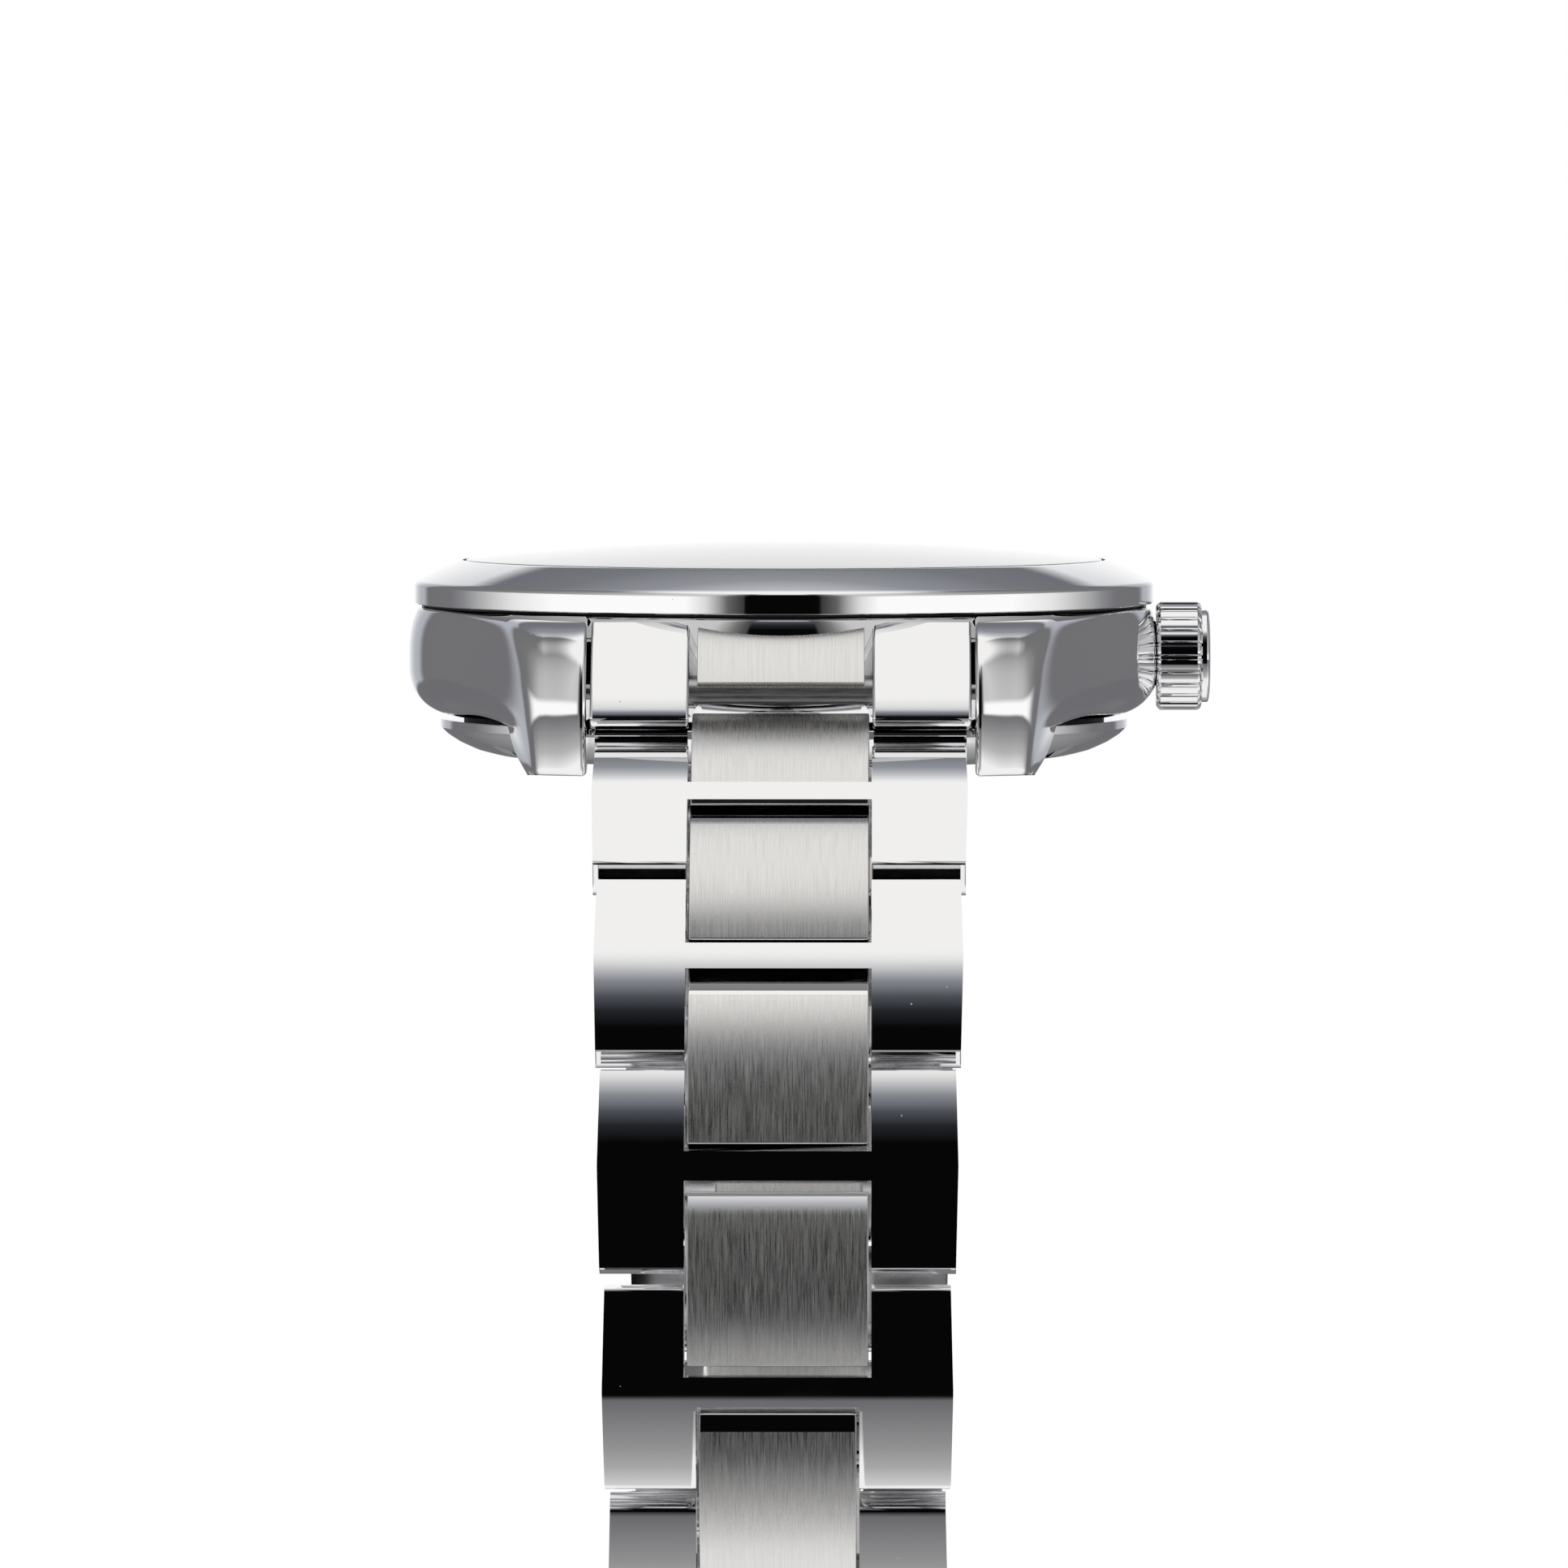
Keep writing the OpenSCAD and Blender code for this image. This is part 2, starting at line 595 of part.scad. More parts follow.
// T-shaped link between the last outer link and the clasp cover
module clasp_link() color("silver") on_link(links) difference() {
  union() {
    bar_x(round_r, centre_w_low);
    translate([0, 0, -c_pitch / 2]) cube([centre_w_low, 2 * round_r, c_pitch], center = true);
    translate([0, 0, -c_pitch]) bar_x(1.5, wide_x);
    translate([0, 0, -c_pitch + 1.1]) cube([wide_x, 3, 2.2], center = true);
  }
  bar_x(pin_r + pin_clear, wide_x + 2);
  translate([0, 0, -c_pitch]) bar_x(pin_r + pin_clear, wide_x + 2);
}

module clasp_cover() color("silver") difference() {
  intersection() {
    along_x(cover_w + 2) difference() {
      translate([cover_y0, cover_z]) square([cover_y1 - cover_y0, cover_h]);
      for (y = [cover_y0, cover_y1]) translate([y, cover_z + cover_h]) rotate(45) square(2.4, center = true);
      for (y = [cover_y0, cover_y1]) translate([y, cover_z]) rotate(45) square(0.7, center = true);
    }
    along_y(100) difference() {
      translate([-cover_w / 2, cover_z]) square([cover_w, cover_h]);
      for (s = [-1, 1]) translate([s * cover_w / 2, cover_z]) rotate(45) square(0.8, center = true);
      for (s = [-1, 1]) translate([s * cover_w / 2, cover_z + cover_h]) rotate(45) square(0.5, center = true);
    }
  }
  translate([-cover_in_w / 2, cover_y0 - 5, floor_z]) cube([cover_in_w, 100, 20]);
  translate([0, cover_pin.x, cover_pin.y]) bar_x(pin_r, cover_w + 2);
  translate([0, hinge_y, hinge_z]) bar_x(pin_r, cover_w + 2);
  translate([0, button_y, hinge_z]) cube([cover_w + 2, button_l + 0.16, button_h + 0.16], center = true);
}

// spring bar of the cover and the two short pins of its blade hinge
module clasp_pins() color("gray") {
  translate([0, cover_pin.x, cover_pin.y]) bar_x(pin_r, cover_w - 0.3);
  for (s = [-1, 1]) translate([s * (cover_w / 2 - 0.15 - 1.6), hinge_y, hinge_z]) bar_x(pin_r, 3.2);
}

// push piece in the wall of the cover, with a flange that keeps it in
module button(s) color("silver") {
  translate([s * (cover_w / 2 - cover_t / 2 + button_travel / 2), button_y, hinge_z])
    cube([cover_t + button_travel, button_l, button_h], center = true);
  translate([s * (cover_in_w / 2 - 0.2), button_y, hinge_z]) cube([0.4, button_l + 1, button_h + 0.8], center = true);
}

module clasp_button_left() button(-1);

module clasp_button_right() button(1);

rail_out = rail_x + rail_w;
hinge_out = cover_in_w / 2 - 0.15;

// wide blade: two rails with a cross plate under the narrow blade, hinged in the cover
module clasp_blade_long() {
  color("darkgray") difference() {
    union() {
      for (s = [-1, 1]) {
        translate([s * (rail_x + rail_w / 2), (fold_y + hinge_y) / 2, hinge_z])
          cube([rail_w, hinge_y - fold_y, blade_t], center = true);
        translate([s * (rail_x + rail_w / 2), fold_y, hinge_z]) bar_x(knuckle_r, rail_w);
        translate([s * (rail_x + hinge_out) / 2, hinge_y, hinge_z]) bar_x(knuckle_r, hinge_out - rail_x);
      }
      translate([0, (fold_y + hinge_y) / 2, hinge_z - blade_t / 2 - 0.275])
        cube([2 * rail_out, 9, 0.55], center = true);
    }
    translate([0, fold_y, hinge_z]) bar_x(pin_r + pin_seat, cover_w);
    translate([0, hinge_y, hinge_z]) bar_x(pin_r + pin_clear, cover_w);
  }
  color("gray") translate([0, fold_y, hinge_z]) bar_x(pin_r, 2 * rail_out - 0.3);
}

// narrow blade: folds inside the wide one, its far barrel stands in the last link of the 12 o'clock side
module clasp_blade_short() color("darkgray") difference() {
  along_x(blade_w) union() {
    translate([fold_y, hinge_z]) circle(knuckle_r, $fn = 48);
    translate([fold_y, hinge_z - blade_t / 2]) square([hinge_y - fold_y, blade_t]);
    polygon([
      [hinge_y - 0.5, hinge_z - blade_t / 2], [hinge_y - 0.5, hinge_z + blade_t / 2],
      [tail_pin.x - 0.3, tail_pin.y + 0.5], [tail_pin.x, tail_pin.y - 0.6]
    ]);
    translate(tail_pin) circle(tail_r, $fn = 48);
  }
  translate([0, fold_y, hinge_z]) bar_x(pin_r + pin_clear, cover_w);
  translate([0, tail_pin.x, tail_pin.y]) bar_x(pin_r - 0.1, cover_w);
}

case_body();
bezel();
crystal();
crystal_gasket();
chapter_ring();
dial();
hour_markers();
movement_holder();
main_plate();
movement_bridges();
case_back();
case_back_gasket();
crown_tube();
spring_bars();
end_link_6();
end_link_12();
setting_lever();
crown();
crown_stem();
hour_hand();
minute_hand();
seconds_hand();
date_disc();
rotor();
balance_wheel();
clasp_link();
clasp_cover();
clasp_pins();
clasp_button_left();
clasp_button_right();
clasp_blade_long();
clasp_blade_short();
for (k = [1:sides]) {
  front_centre(k);
  front_h(k);
  mirror([0, 1, 0]) front_centre(k);
  mirror([0, 1, 0]) front_h(k, k < sides);
}
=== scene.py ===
import json
import math

import bmesh
import bpy
from mathutils import Matrix, Vector


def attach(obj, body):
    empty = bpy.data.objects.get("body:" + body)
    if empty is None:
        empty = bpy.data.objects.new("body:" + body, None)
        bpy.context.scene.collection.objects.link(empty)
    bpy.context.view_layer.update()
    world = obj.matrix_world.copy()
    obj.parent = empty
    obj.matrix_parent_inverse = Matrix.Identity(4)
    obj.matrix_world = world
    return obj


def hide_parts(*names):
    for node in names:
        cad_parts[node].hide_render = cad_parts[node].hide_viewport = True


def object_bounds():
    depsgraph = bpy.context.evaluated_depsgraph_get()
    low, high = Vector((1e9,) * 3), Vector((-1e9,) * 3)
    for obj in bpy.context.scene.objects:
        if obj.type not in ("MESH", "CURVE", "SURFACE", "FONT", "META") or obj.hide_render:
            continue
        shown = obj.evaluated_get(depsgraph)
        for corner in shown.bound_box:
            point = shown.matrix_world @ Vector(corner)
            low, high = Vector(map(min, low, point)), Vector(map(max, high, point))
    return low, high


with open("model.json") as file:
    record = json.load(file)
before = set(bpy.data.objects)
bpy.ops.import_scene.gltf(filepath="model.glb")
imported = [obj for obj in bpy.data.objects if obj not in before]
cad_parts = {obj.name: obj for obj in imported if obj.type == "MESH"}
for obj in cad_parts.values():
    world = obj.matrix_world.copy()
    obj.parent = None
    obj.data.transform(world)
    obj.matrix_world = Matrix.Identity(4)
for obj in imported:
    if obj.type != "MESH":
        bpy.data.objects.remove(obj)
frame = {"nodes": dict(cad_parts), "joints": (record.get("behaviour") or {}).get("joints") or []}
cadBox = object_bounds()

mm = 0.001
scene = bpy.context.scene
joints = {joint["name"]: joint for joint in frame["joints"]}


def hexColor(code):
    # sRGB hex to the linear values that sockets hold
    parts = [int(code[i:i + 2], 16) / 255 for i in (0, 2, 4)]
    return [c / 12.92 if c <= 0.04045 else ((c + 0.055) / 1.055) ** 2.4 for c in parts] + [1.0]


def addNode(tree, kind, inputs=None, **settings):
    node = tree.nodes.new(kind)
    for key, value in settings.items():
        setattr(node, key, value)
    for key, value in (inputs or {}).items():
        if isinstance(value, bpy.types.NodeSocket):
            tree.links.new(value, node.inputs[key])
        else:
            node.inputs[key].default_value = value
    return node


def setRamp(node, stops):
    ramp = node.color_ramp
    while len(ramp.elements) > 1:
        ramp.elements.remove(ramp.elements[-1])
    for index, (place, value) in enumerate(stops):
        stop = ramp.elements[0] if index == 0 else ramp.elements.new(place)
        stop.position = place
        stop.color = (*value, 1) if isinstance(value, tuple) else (value, value, value, 1)


def newMaterial(name):
    material = bpy.data.materials.new(name)
    material.use_nodes = True
    tree = material.node_tree
    tree.nodes.clear()
    output = addNode(tree, "ShaderNodeOutputMaterial")
    shader = addNode(tree, "ShaderNodeBsdfPrincipled")
    tree.links.new(shader.outputs[0], output.inputs[0])
    return material, tree, shader


def finishPiece(name, bm, materials, body, replaces=(), sharp=28, weighted=True):
    mesh = bpy.data.meshes.new(name)
    bm.to_mesh(mesh)
    bm.free()
    mesh.polygons.foreach_set("use_smooth", [True] * len(mesh.polygons))
    mesh.set_sharp_from_angle(angle=math.radians(sharp))
    for material in materials:
        mesh.materials.append(material)
    piece = bpy.data.objects.new(name, mesh)
    scene.collection.objects.link(piece)
    if weighted:
        normals = piece.modifiers.new("normals", "WEIGHTED_NORMAL")
        normals.keep_sharp = True
        normals.weight = 100
    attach(piece, body)
    if replaces:
        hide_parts(*replaces)
    return piece


def spinProfile(bm, points, steps=144, closed=True):
    # turns an outline of (radius, height) in mm round the Z axis
    verts = [bm.verts.new((r * mm, 0, z * mm)) for r, z in points]
    pairs = list(zip(verts, verts[1:] + verts[:1])) if closed else list(zip(verts, verts[1:]))
    edges = [bm.edges.new(pair) for pair in pairs]
    bmesh.ops.spin(bm, geom=verts + edges, cent=(0, 0, 0), axis=(0, 0, 1), angle=math.tau,
                   steps=steps, use_merge=True)
    bmesh.ops.remove_doubles(bm, verts=bm.verts, dist=0.002 * mm)
    bmesh.ops.recalc_face_normals(bm, faces=bm.faces)


def bevelSharp(bm, width, angle=25, segments=3, keep=lambda edge: True):
    edges = [e for e in bm.edges if len(e.link_faces) == 2
             and e.calc_face_angle() > math.radians(angle) and keep(e)]
    bmesh.ops.bevel(bm, geom=edges, offset=width * mm, offset_type="OFFSET", segments=segments,
                    profile=0.5, affect="EDGES", clamp_overlap=True, material=-1)


def arcPoints(cx, cy, radius, start, end, count):
    # points on an arc, angles in degrees
    step = (end - start) / count
    return [(cx + radius * math.cos(math.radians(start + step * i)),
             cy + radius * math.sin(math.radians(start + step * i))) for i in range(count + 1)]


def prismAlongX(bm, outline, x0, x1):
    # a closed outline of (y, z) in mm, run from x0 to x1
    verts = [bm.verts.new((x0 * mm, y * mm, z * mm)) for y, z in outline]
    face = bm.faces.new(verts)
    grown = bmesh.ops.extrude_face_region(bm, geom=[face])
    moved = [v for v in grown["geom"] if isinstance(v, bmesh.types.BMVert)]
    bmesh.ops.translate(bm, verts=moved, vec=((x1 - x0) * mm, 0, 0))
    bmesh.ops.recalc_face_normals(bm, faces=bm.faces)
    return verts + moved


def mapFaces(bm, toLocal=Matrix.Identity(4)):
    # lays a UV map in metres on the piece's own X and length, for brushing that follows it
    layer = bm.loops.layers.uv.new("grain")
    for face in bm.faces:
        for loop in face.loops:
            place = toLocal @ loop.vert.co
            loop[layer].uv = (place.x, place.z)


def makePolishedSteel():
    # 316L stainless steel, buffed: a mirror with faint haze, a little dust and hardly any colour
    material, tree, shader = newMaterial("polishedSteel")
    coords = addNode(tree, "ShaderNodeTexCoord").outputs["Object"]
    haze = addNode(tree, "ShaderNodeTexNoise", {"Vector": coords, "Scale": 160.0, "Detail": 3.0})
    rough = addNode(tree, "ShaderNodeMapRange", {"Value": haze.outputs[0], "From Min": 0.35,
                    "From Max": 0.75, "To Min": 0.03, "To Max": 0.065})
    # dust specks about 0.09 mm across, one every couple of millimetres
    dust = addNode(tree, "ShaderNodeTexVoronoi", {"Vector": coords, "Scale": 620.0}, feature="F1")
    speck = addNode(tree, "ShaderNodeMath", {0: dust.outputs["Distance"], 1: 0.028}, operation="LESS_THAN")
    sparse = addNode(tree, "ShaderNodeTexNoise", {"Vector": coords, "Scale": 420.0})
    chosen = addNode(tree, "ShaderNodeMath", {0: sparse.outputs[0], 1: 0.53}, operation="GREATER_THAN")
    mask = addNode(tree, "ShaderNodeMath", {0: speck.outputs[0], 1: chosen.outputs[0]}, operation="MULTIPLY")
    metal = addNode(tree, "ShaderNodeMath", {0: 1.0, 1: mask.outputs[0]}, operation="SUBTRACT")
    tree.links.new(rough.outputs[0], shader.inputs["Roughness"])
    tree.links.new(metal.outputs[0], shader.inputs["Metallic"])
    shader.inputs["Base Color"].default_value = hexColor("F0F0F1")
    return material


def makeBrushedSteel(name="brushedSteel", tint="E4E3E1", roughness=0.27, depth=0.5):
    # stainless steel finished on a fine belt: hairlines along the link that spread light sideways.
    # Real lines are about 0.02 mm; these are about 0.04 and 0.07 mm so that they show.
    material, tree, shader = newMaterial(name)
    grain = addNode(tree, "ShaderNodeUVMap", uv_map="grain").outputs[0]
    fine = addNode(tree, "ShaderNodeMapping", {"Vector": grain, "Scale": (26000.0, 300.0, 1.0)})
    broad = addNode(tree, "ShaderNodeMapping", {"Vector": grain, "Scale": (15000.0, 420.0, 1.0)})
    fineLines = addNode(tree, "ShaderNodeTexNoise", {"Vector": fine.outputs[0], "Scale": 1.0, "Detail": 3.0,
                        "Roughness": 0.6})
    broadLines = addNode(tree, "ShaderNodeTexNoise", {"Vector": broad.outputs[0], "Scale": 1.0,
                         "Detail": 2.0})
    height = addNode(tree, "ShaderNodeMath", {0: fineLines.outputs[0], 1: broadLines.outputs[0]},
                     operation="ADD")
    bump = addNode(tree, "ShaderNodeBump", {"Strength": depth, "Distance": 0.00001,
                   "Height": height.outputs[0]})
    rough = addNode(tree, "ShaderNodeMapRange", {"Value": broadLines.outputs[0], "From Min": 0.3,
                    "From Max": 0.7, "To Min": roughness * 0.8, "To Max": roughness * 1.35})
    tree.links.new(bump.outputs[0], shader.inputs["Normal"])
    tree.links.new(rough.outputs[0], shader.inputs["Roughness"])
    shader.inputs["Metallic"].default_value = 1.0
    shader.inputs["Base Color"].default_value = hexColor(tint)
    return material


def makeGroundSteel(name, tint, low, high, lines=(9000.0, 260.0, 9000.0)):
    # stamped or turned stainless steel, ground lengthwise: dull lines about 0.1 mm apart
    material, tree, shader = newMaterial(name)
    coords = addNode(tree, "ShaderNodeTexCoord").outputs["Object"]
    drawn = addNode(tree, "ShaderNodeMapping", {"Vector": coords, "Scale": lines})
    grain = addNode(tree, "ShaderNodeTexNoise", {"Vector": drawn.outputs[0], "Scale": 1.0, "Detail": 3.0})
    rough = addNode(tree, "ShaderNodeMapRange", {"Value": grain.outputs[0], "From Min": 0.3, "From Max": 0.7,
                    "To Min": low, "To Max": high})
    bump = addNode(tree, "ShaderNodeBump", {"Strength": 0.5, "Distance": 0.00001, "Height": grain.outputs[0]})
    tree.links.new(rough.outputs[0], shader.inputs["Roughness"])
    tree.links.new(bump.outputs[0], shader.inputs["Normal"])
    shader.inputs["Metallic"].default_value = 1.0
    shader.inputs["Base Color"].default_value = hexColor(tint)
    return material


def makeHolderPlastic():
    # white acetal, moulded: slightly glossy with a fine orange peel
    material, tree, shader = newMaterial("acetalPlastic")
    coords = addNode(tree, "ShaderNodeTexCoord").outputs["Object"]
    peel = addNode(tree, "ShaderNodeTexNoise", {"Vector": coords, "Scale": 2200.0})
    bump = addNode(tree, "ShaderNodeBump", {"Strength": 0.2, "Distance": 0.00002, "Height": peel.outputs[0]})
    tree.links.new(bump.outputs[0], shader.inputs["Normal"])
    shader.inputs["Base Color"].default_value = hexColor("E6E6E2")
    shader.inputs["Roughness"].default_value = 0.4
    return material


def makeSapphire():
    # sapphire crystal, polished both sides: clear, high IOR, strong reflection at a low angle
    material, tree, shader = newMaterial("sapphireCrystal")
    coords = addNode(tree, "ShaderNodeTexCoord").outputs["Object"]
    smear = addNode(tree, "ShaderNodeTexNoise", {"Vector": coords, "Scale": 90.0, "Detail": 2.0})
    rough = addNode(tree, "ShaderNodeMapRange", {"Value": smear.outputs[0], "From Min": 0.4,
                    "From Max": 0.8, "To Min": 0.0, "To Max": 0.03})
    tree.links.new(rough.outputs[0], shader.inputs["Roughness"])
    shader.inputs["Base Color"].default_value = hexColor("FFFFFF")
    shader.inputs["Transmission Weight"].default_value = 1.0
    shader.inputs["IOR"].default_value = 1.76
    # hard coat on the outside, strongest at a low angle
    shader.inputs["Coat Weight"].default_value = 1.0
    shader.inputs["Coat IOR"].default_value = 1.7
    # light reaches the dial straight through the glass
    path = addNode(tree, "ShaderNodeLightPath")
    clear = addNode(tree, "ShaderNodeBsdfTransparent")
    mixed = addNode(tree, "ShaderNodeMixShader", {0: path.outputs["Is Shadow Ray"], 1: shader.outputs[0],
                    2: clear.outputs[0]})
    output = next(node for node in tree.nodes if node.type == "OUTPUT_MATERIAL")
    tree.links.new(mixed.outputs[0], output.inputs[0])
    return material


def makeRubberAndGrooveShade():
    # black nitrile, moulded: dull with a slight grain; also used as painted shade on the bezel's groove faces
    material, tree, shader = newMaterial("nitrileRubberAndGrooveShade")
    coords = addNode(tree, "ShaderNodeTexCoord").outputs["Object"]
    grain = addNode(tree, "ShaderNodeTexNoise", {"Vector": coords, "Scale": 5000.0})
    bump = addNode(tree, "ShaderNodeBump", {"Strength": 0.3, "Distance": 0.00002, "Height": grain.outputs[0]})
    tree.links.new(bump.outputs[0], shader.inputs["Normal"])
    shader.inputs["Base Color"].default_value = hexColor("1B1B1C")
    shader.inputs["Roughness"].default_value = 0.6
    return material


# the printed minute track on the dial, in metres; thickness is a share of the spacing
minuteTrack = {"strokes": 60, "radius": 0.01485, "halfLength": 0.00035, "thickness": 0.06}


def makeDialSilver():
    # lacquered brass dial, sunray brushed: a soft silver that changes tone round the centre
    material, tree, shader = newMaterial("sunrayDial")
    coords = addNode(tree, "ShaderNodeTexCoord").outputs["Object"]
    parts = addNode(tree, "ShaderNodeSeparateXYZ", {"Vector": coords})
    turn = addNode(tree, "ShaderNodeMath", {0: parts.outputs[1], 1: parts.outputs[0]}, operation="ARCTAN2")
    ray = addNode(tree, "ShaderNodeCombineXYZ", {"X": turn.outputs[0]})
    lines = addNode(tree, "ShaderNodeTexNoise", {"Vector": ray.outputs[0], "Scale": 90.0, "Detail": 4.0})
    tone = addNode(tree, "ShaderNodeMapRange", {"Value": lines.outputs[0], "From Min": 0.3, "From Max": 0.7,
                   "To Min": 0.22, "To Max": 0.4})
    bump = addNode(tree, "ShaderNodeBump", {"Strength": 0.35, "Distance": 0.00001,
                   "Height": lines.outputs[0]})
    tree.links.new(tone.outputs[0], shader.inputs["Roughness"])
    tree.links.new(bump.outputs[0], shader.inputs["Normal"])
    # short dark strokes between radius 14.5 and 15.2 mm
    t = minuteTrack
    share = addNode(tree, "ShaderNodeMath", {0: turn.outputs[0], 1: t["strokes"] / math.tau},
                    operation="MULTIPLY")
    minute = addNode(tree, "ShaderNodeMath", {0: share.outputs[0], 1: 0.5}, operation="PINGPONG")
    stroke = addNode(tree, "ShaderNodeMath", {0: minute.outputs[0], 1: t["thickness"]},
                     operation="LESS_THAN")
    flat = addNode(tree, "ShaderNodeCombineXYZ", {"X": parts.outputs[0], "Y": parts.outputs[1]})
    reach = addNode(tree, "ShaderNodeVectorMath", {0: flat.outputs[0]}, operation="LENGTH")
    band = addNode(tree, "ShaderNodeMath", {0: reach.outputs["Value"], 1: t["radius"],
                   2: t["halfLength"]}, operation="COMPARE")
    ink = addNode(tree, "ShaderNodeMath", {0: stroke.outputs[0], 1: band.outputs[0]}, operation="MULTIPLY")
    tint = addNode(tree, "ShaderNodeMix", {6: hexColor("F7F7F7"), 7: hexColor("3A3B3D")},
                   data_type="RGBA")
    tree.links.new(ink.outputs[0], tint.inputs[0])
    tree.links.new(tint.outputs[2], shader.inputs["Base Color"])
    shader.inputs["Metallic"].default_value = 0.0
    return material


def makeMovementMetal():
    # brass with rhodium plating and a fine grain
    material, tree, shader = newMaterial("platedBrass")
    coords = addNode(tree, "ShaderNodeTexCoord").outputs["Object"]
    grain = addNode(tree, "ShaderNodeTexNoise", {"Vector": coords, "Scale": 1500.0, "Detail": 2.0})
    rough = addNode(tree, "ShaderNodeMapRange", {"Value": grain.outputs[0], "To Min": 0.2, "To Max": 0.4})
    tree.links.new(rough.outputs[0], shader.inputs["Roughness"])
    shader.inputs["Base Color"].default_value = hexColor("CDBB8C")
    shader.inputs["Metallic"].default_value = 1.0
    return material


def makeDateWhite():
    # printed date disc, matt white
    material, tree, shader = newMaterial("mattWhite")
    coords = addNode(tree, "ShaderNodeTexCoord").outputs["Object"]
    grain = addNode(tree, "ShaderNodeTexNoise", {"Vector": coords, "Scale": 3000.0})
    rough = addNode(tree, "ShaderNodeMapRange", {"Value": grain.outputs[0], "To Min": 0.45, "To Max": 0.6})
    tree.links.new(rough.outputs[0], shader.inputs["Roughness"])
    shader.inputs["Base Color"].default_value = hexColor("EDEDEA")
    return material


polished = makePolishedSteel()
brushed = makeBrushedSteel()
sapphire = makeSapphire()
# this rubber is also painted shade on the bezel's groove faces
rubberAndGrooveShade = makeRubberAndGrooveShade()
dialSilver = makeDialSilver()
movementMetal = makeMovementMetal()
dateWhite = makeDateWhite()
claspSteel = makeGroundSteel("groundClaspSteel", "DDDCDB", 0.2, 0.36)
pinSteel = makeGroundSteel("turnedPinSteel", "B9B9BA", 0.25, 0.4, (400.0, 9000.0, 9000.0))
rotorSteel = makeGroundSteel("groundRotorSteel", "D5D5D6", 0.22, 0.34, (9000.0, 500.0, 9000.0))
holderPlastic = makeHolderPlastic()
satinRing = makeGroundSteel("satinFlangeSteel", "F4F4F4", 0.35, 0.5, (3000.0, 3000.0, 3000.0))
print("materials made")


# bracelet links, in mm; the pins' places come from the record
outerLink = {
    "crest": 1.95, "inner": 1.75, "crestRadius": 14.6, "length": 10.2, "pitch": 5.55,
    "heel": 1.6, "bar": 1.51, "endBevel": 0.62, "edge": 0.2, "taper": 0.048, "widthAtCase": 19.55,
}
centreLink = {
    "pitch": 5.2, "half": 1.77, "reachUp": 0.95, "reachDown": 1.45, "wide": 9.1, "narrow": 7.9,
    "wideCount": 4, "edge": 0.07, "clear": 0.15, "crest": 1.93, "crown": 12.5,
    "chamferUp": -0.95, "chamferDown": -1.15,
}


def hingePlace(name):
    return Vector(joints[name]["pos_m"])


def linkMatrix(top, bottom):
    # local Z runs up the chain, local -Y points out of the loop
    up = (top - bottom).normalized()
    side = Vector((1, 0, 0))
    inward = up.cross(side)
    turn = Matrix((side, inward, up)).transposed().to_4x4()
    return Matrix.Translation(top) @ turn


def centreWidth(k):
    return centreLink["wide"] if k <= centreLink["wideCount"] else centreLink["narrow"]


def outerOutline(s):
    # side view of an outer link, upper pin at (0, 0), outer face towards -y
    half = s["length"] / 2
    sweep = math.degrees(math.asin(half / s["crestRadius"]))
    cy = s["crestRadius"] - s["crest"]
    barAngle = math.degrees(math.asin(s["bar"] / 2 / s["crestRadius"]))
    crest = arcPoints(cy, 0, s["crestRadius"], 180 - sweep, 180 - barAngle, 18)
    crest += arcPoints(cy, 0, s["crestRadius"], 180 - barAngle, 180 + barAngle, 6)[1:]
    crest += arcPoints(cy, 0, s["crestRadius"], 180 + barAngle, 180 + sweep, 18)[1:]
    front = [(y, z - s["pitch"] / 2) for y, z in crest]
    low = arcPoints(s["inner"] - s["heel"], -s["pitch"] / 2 - half + s["heel"], s["heel"], -90, 0, 6)
    high = arcPoints(s["inner"] - s["heel"], -s["pitch"] / 2 + half - s["heel"], s["heel"], 0, 90, 6)
    return front + low + high


def cutLevels(bm, levels, normal):
    # extra edge loops where a plane crosses the mesh
    for place in levels:
        bmesh.ops.bisect_plane(bm, geom=bm.verts[:] + bm.edges[:] + bm.faces[:], dist=1e-7,
                               plane_co=Vector(normal) * place, plane_no=normal)


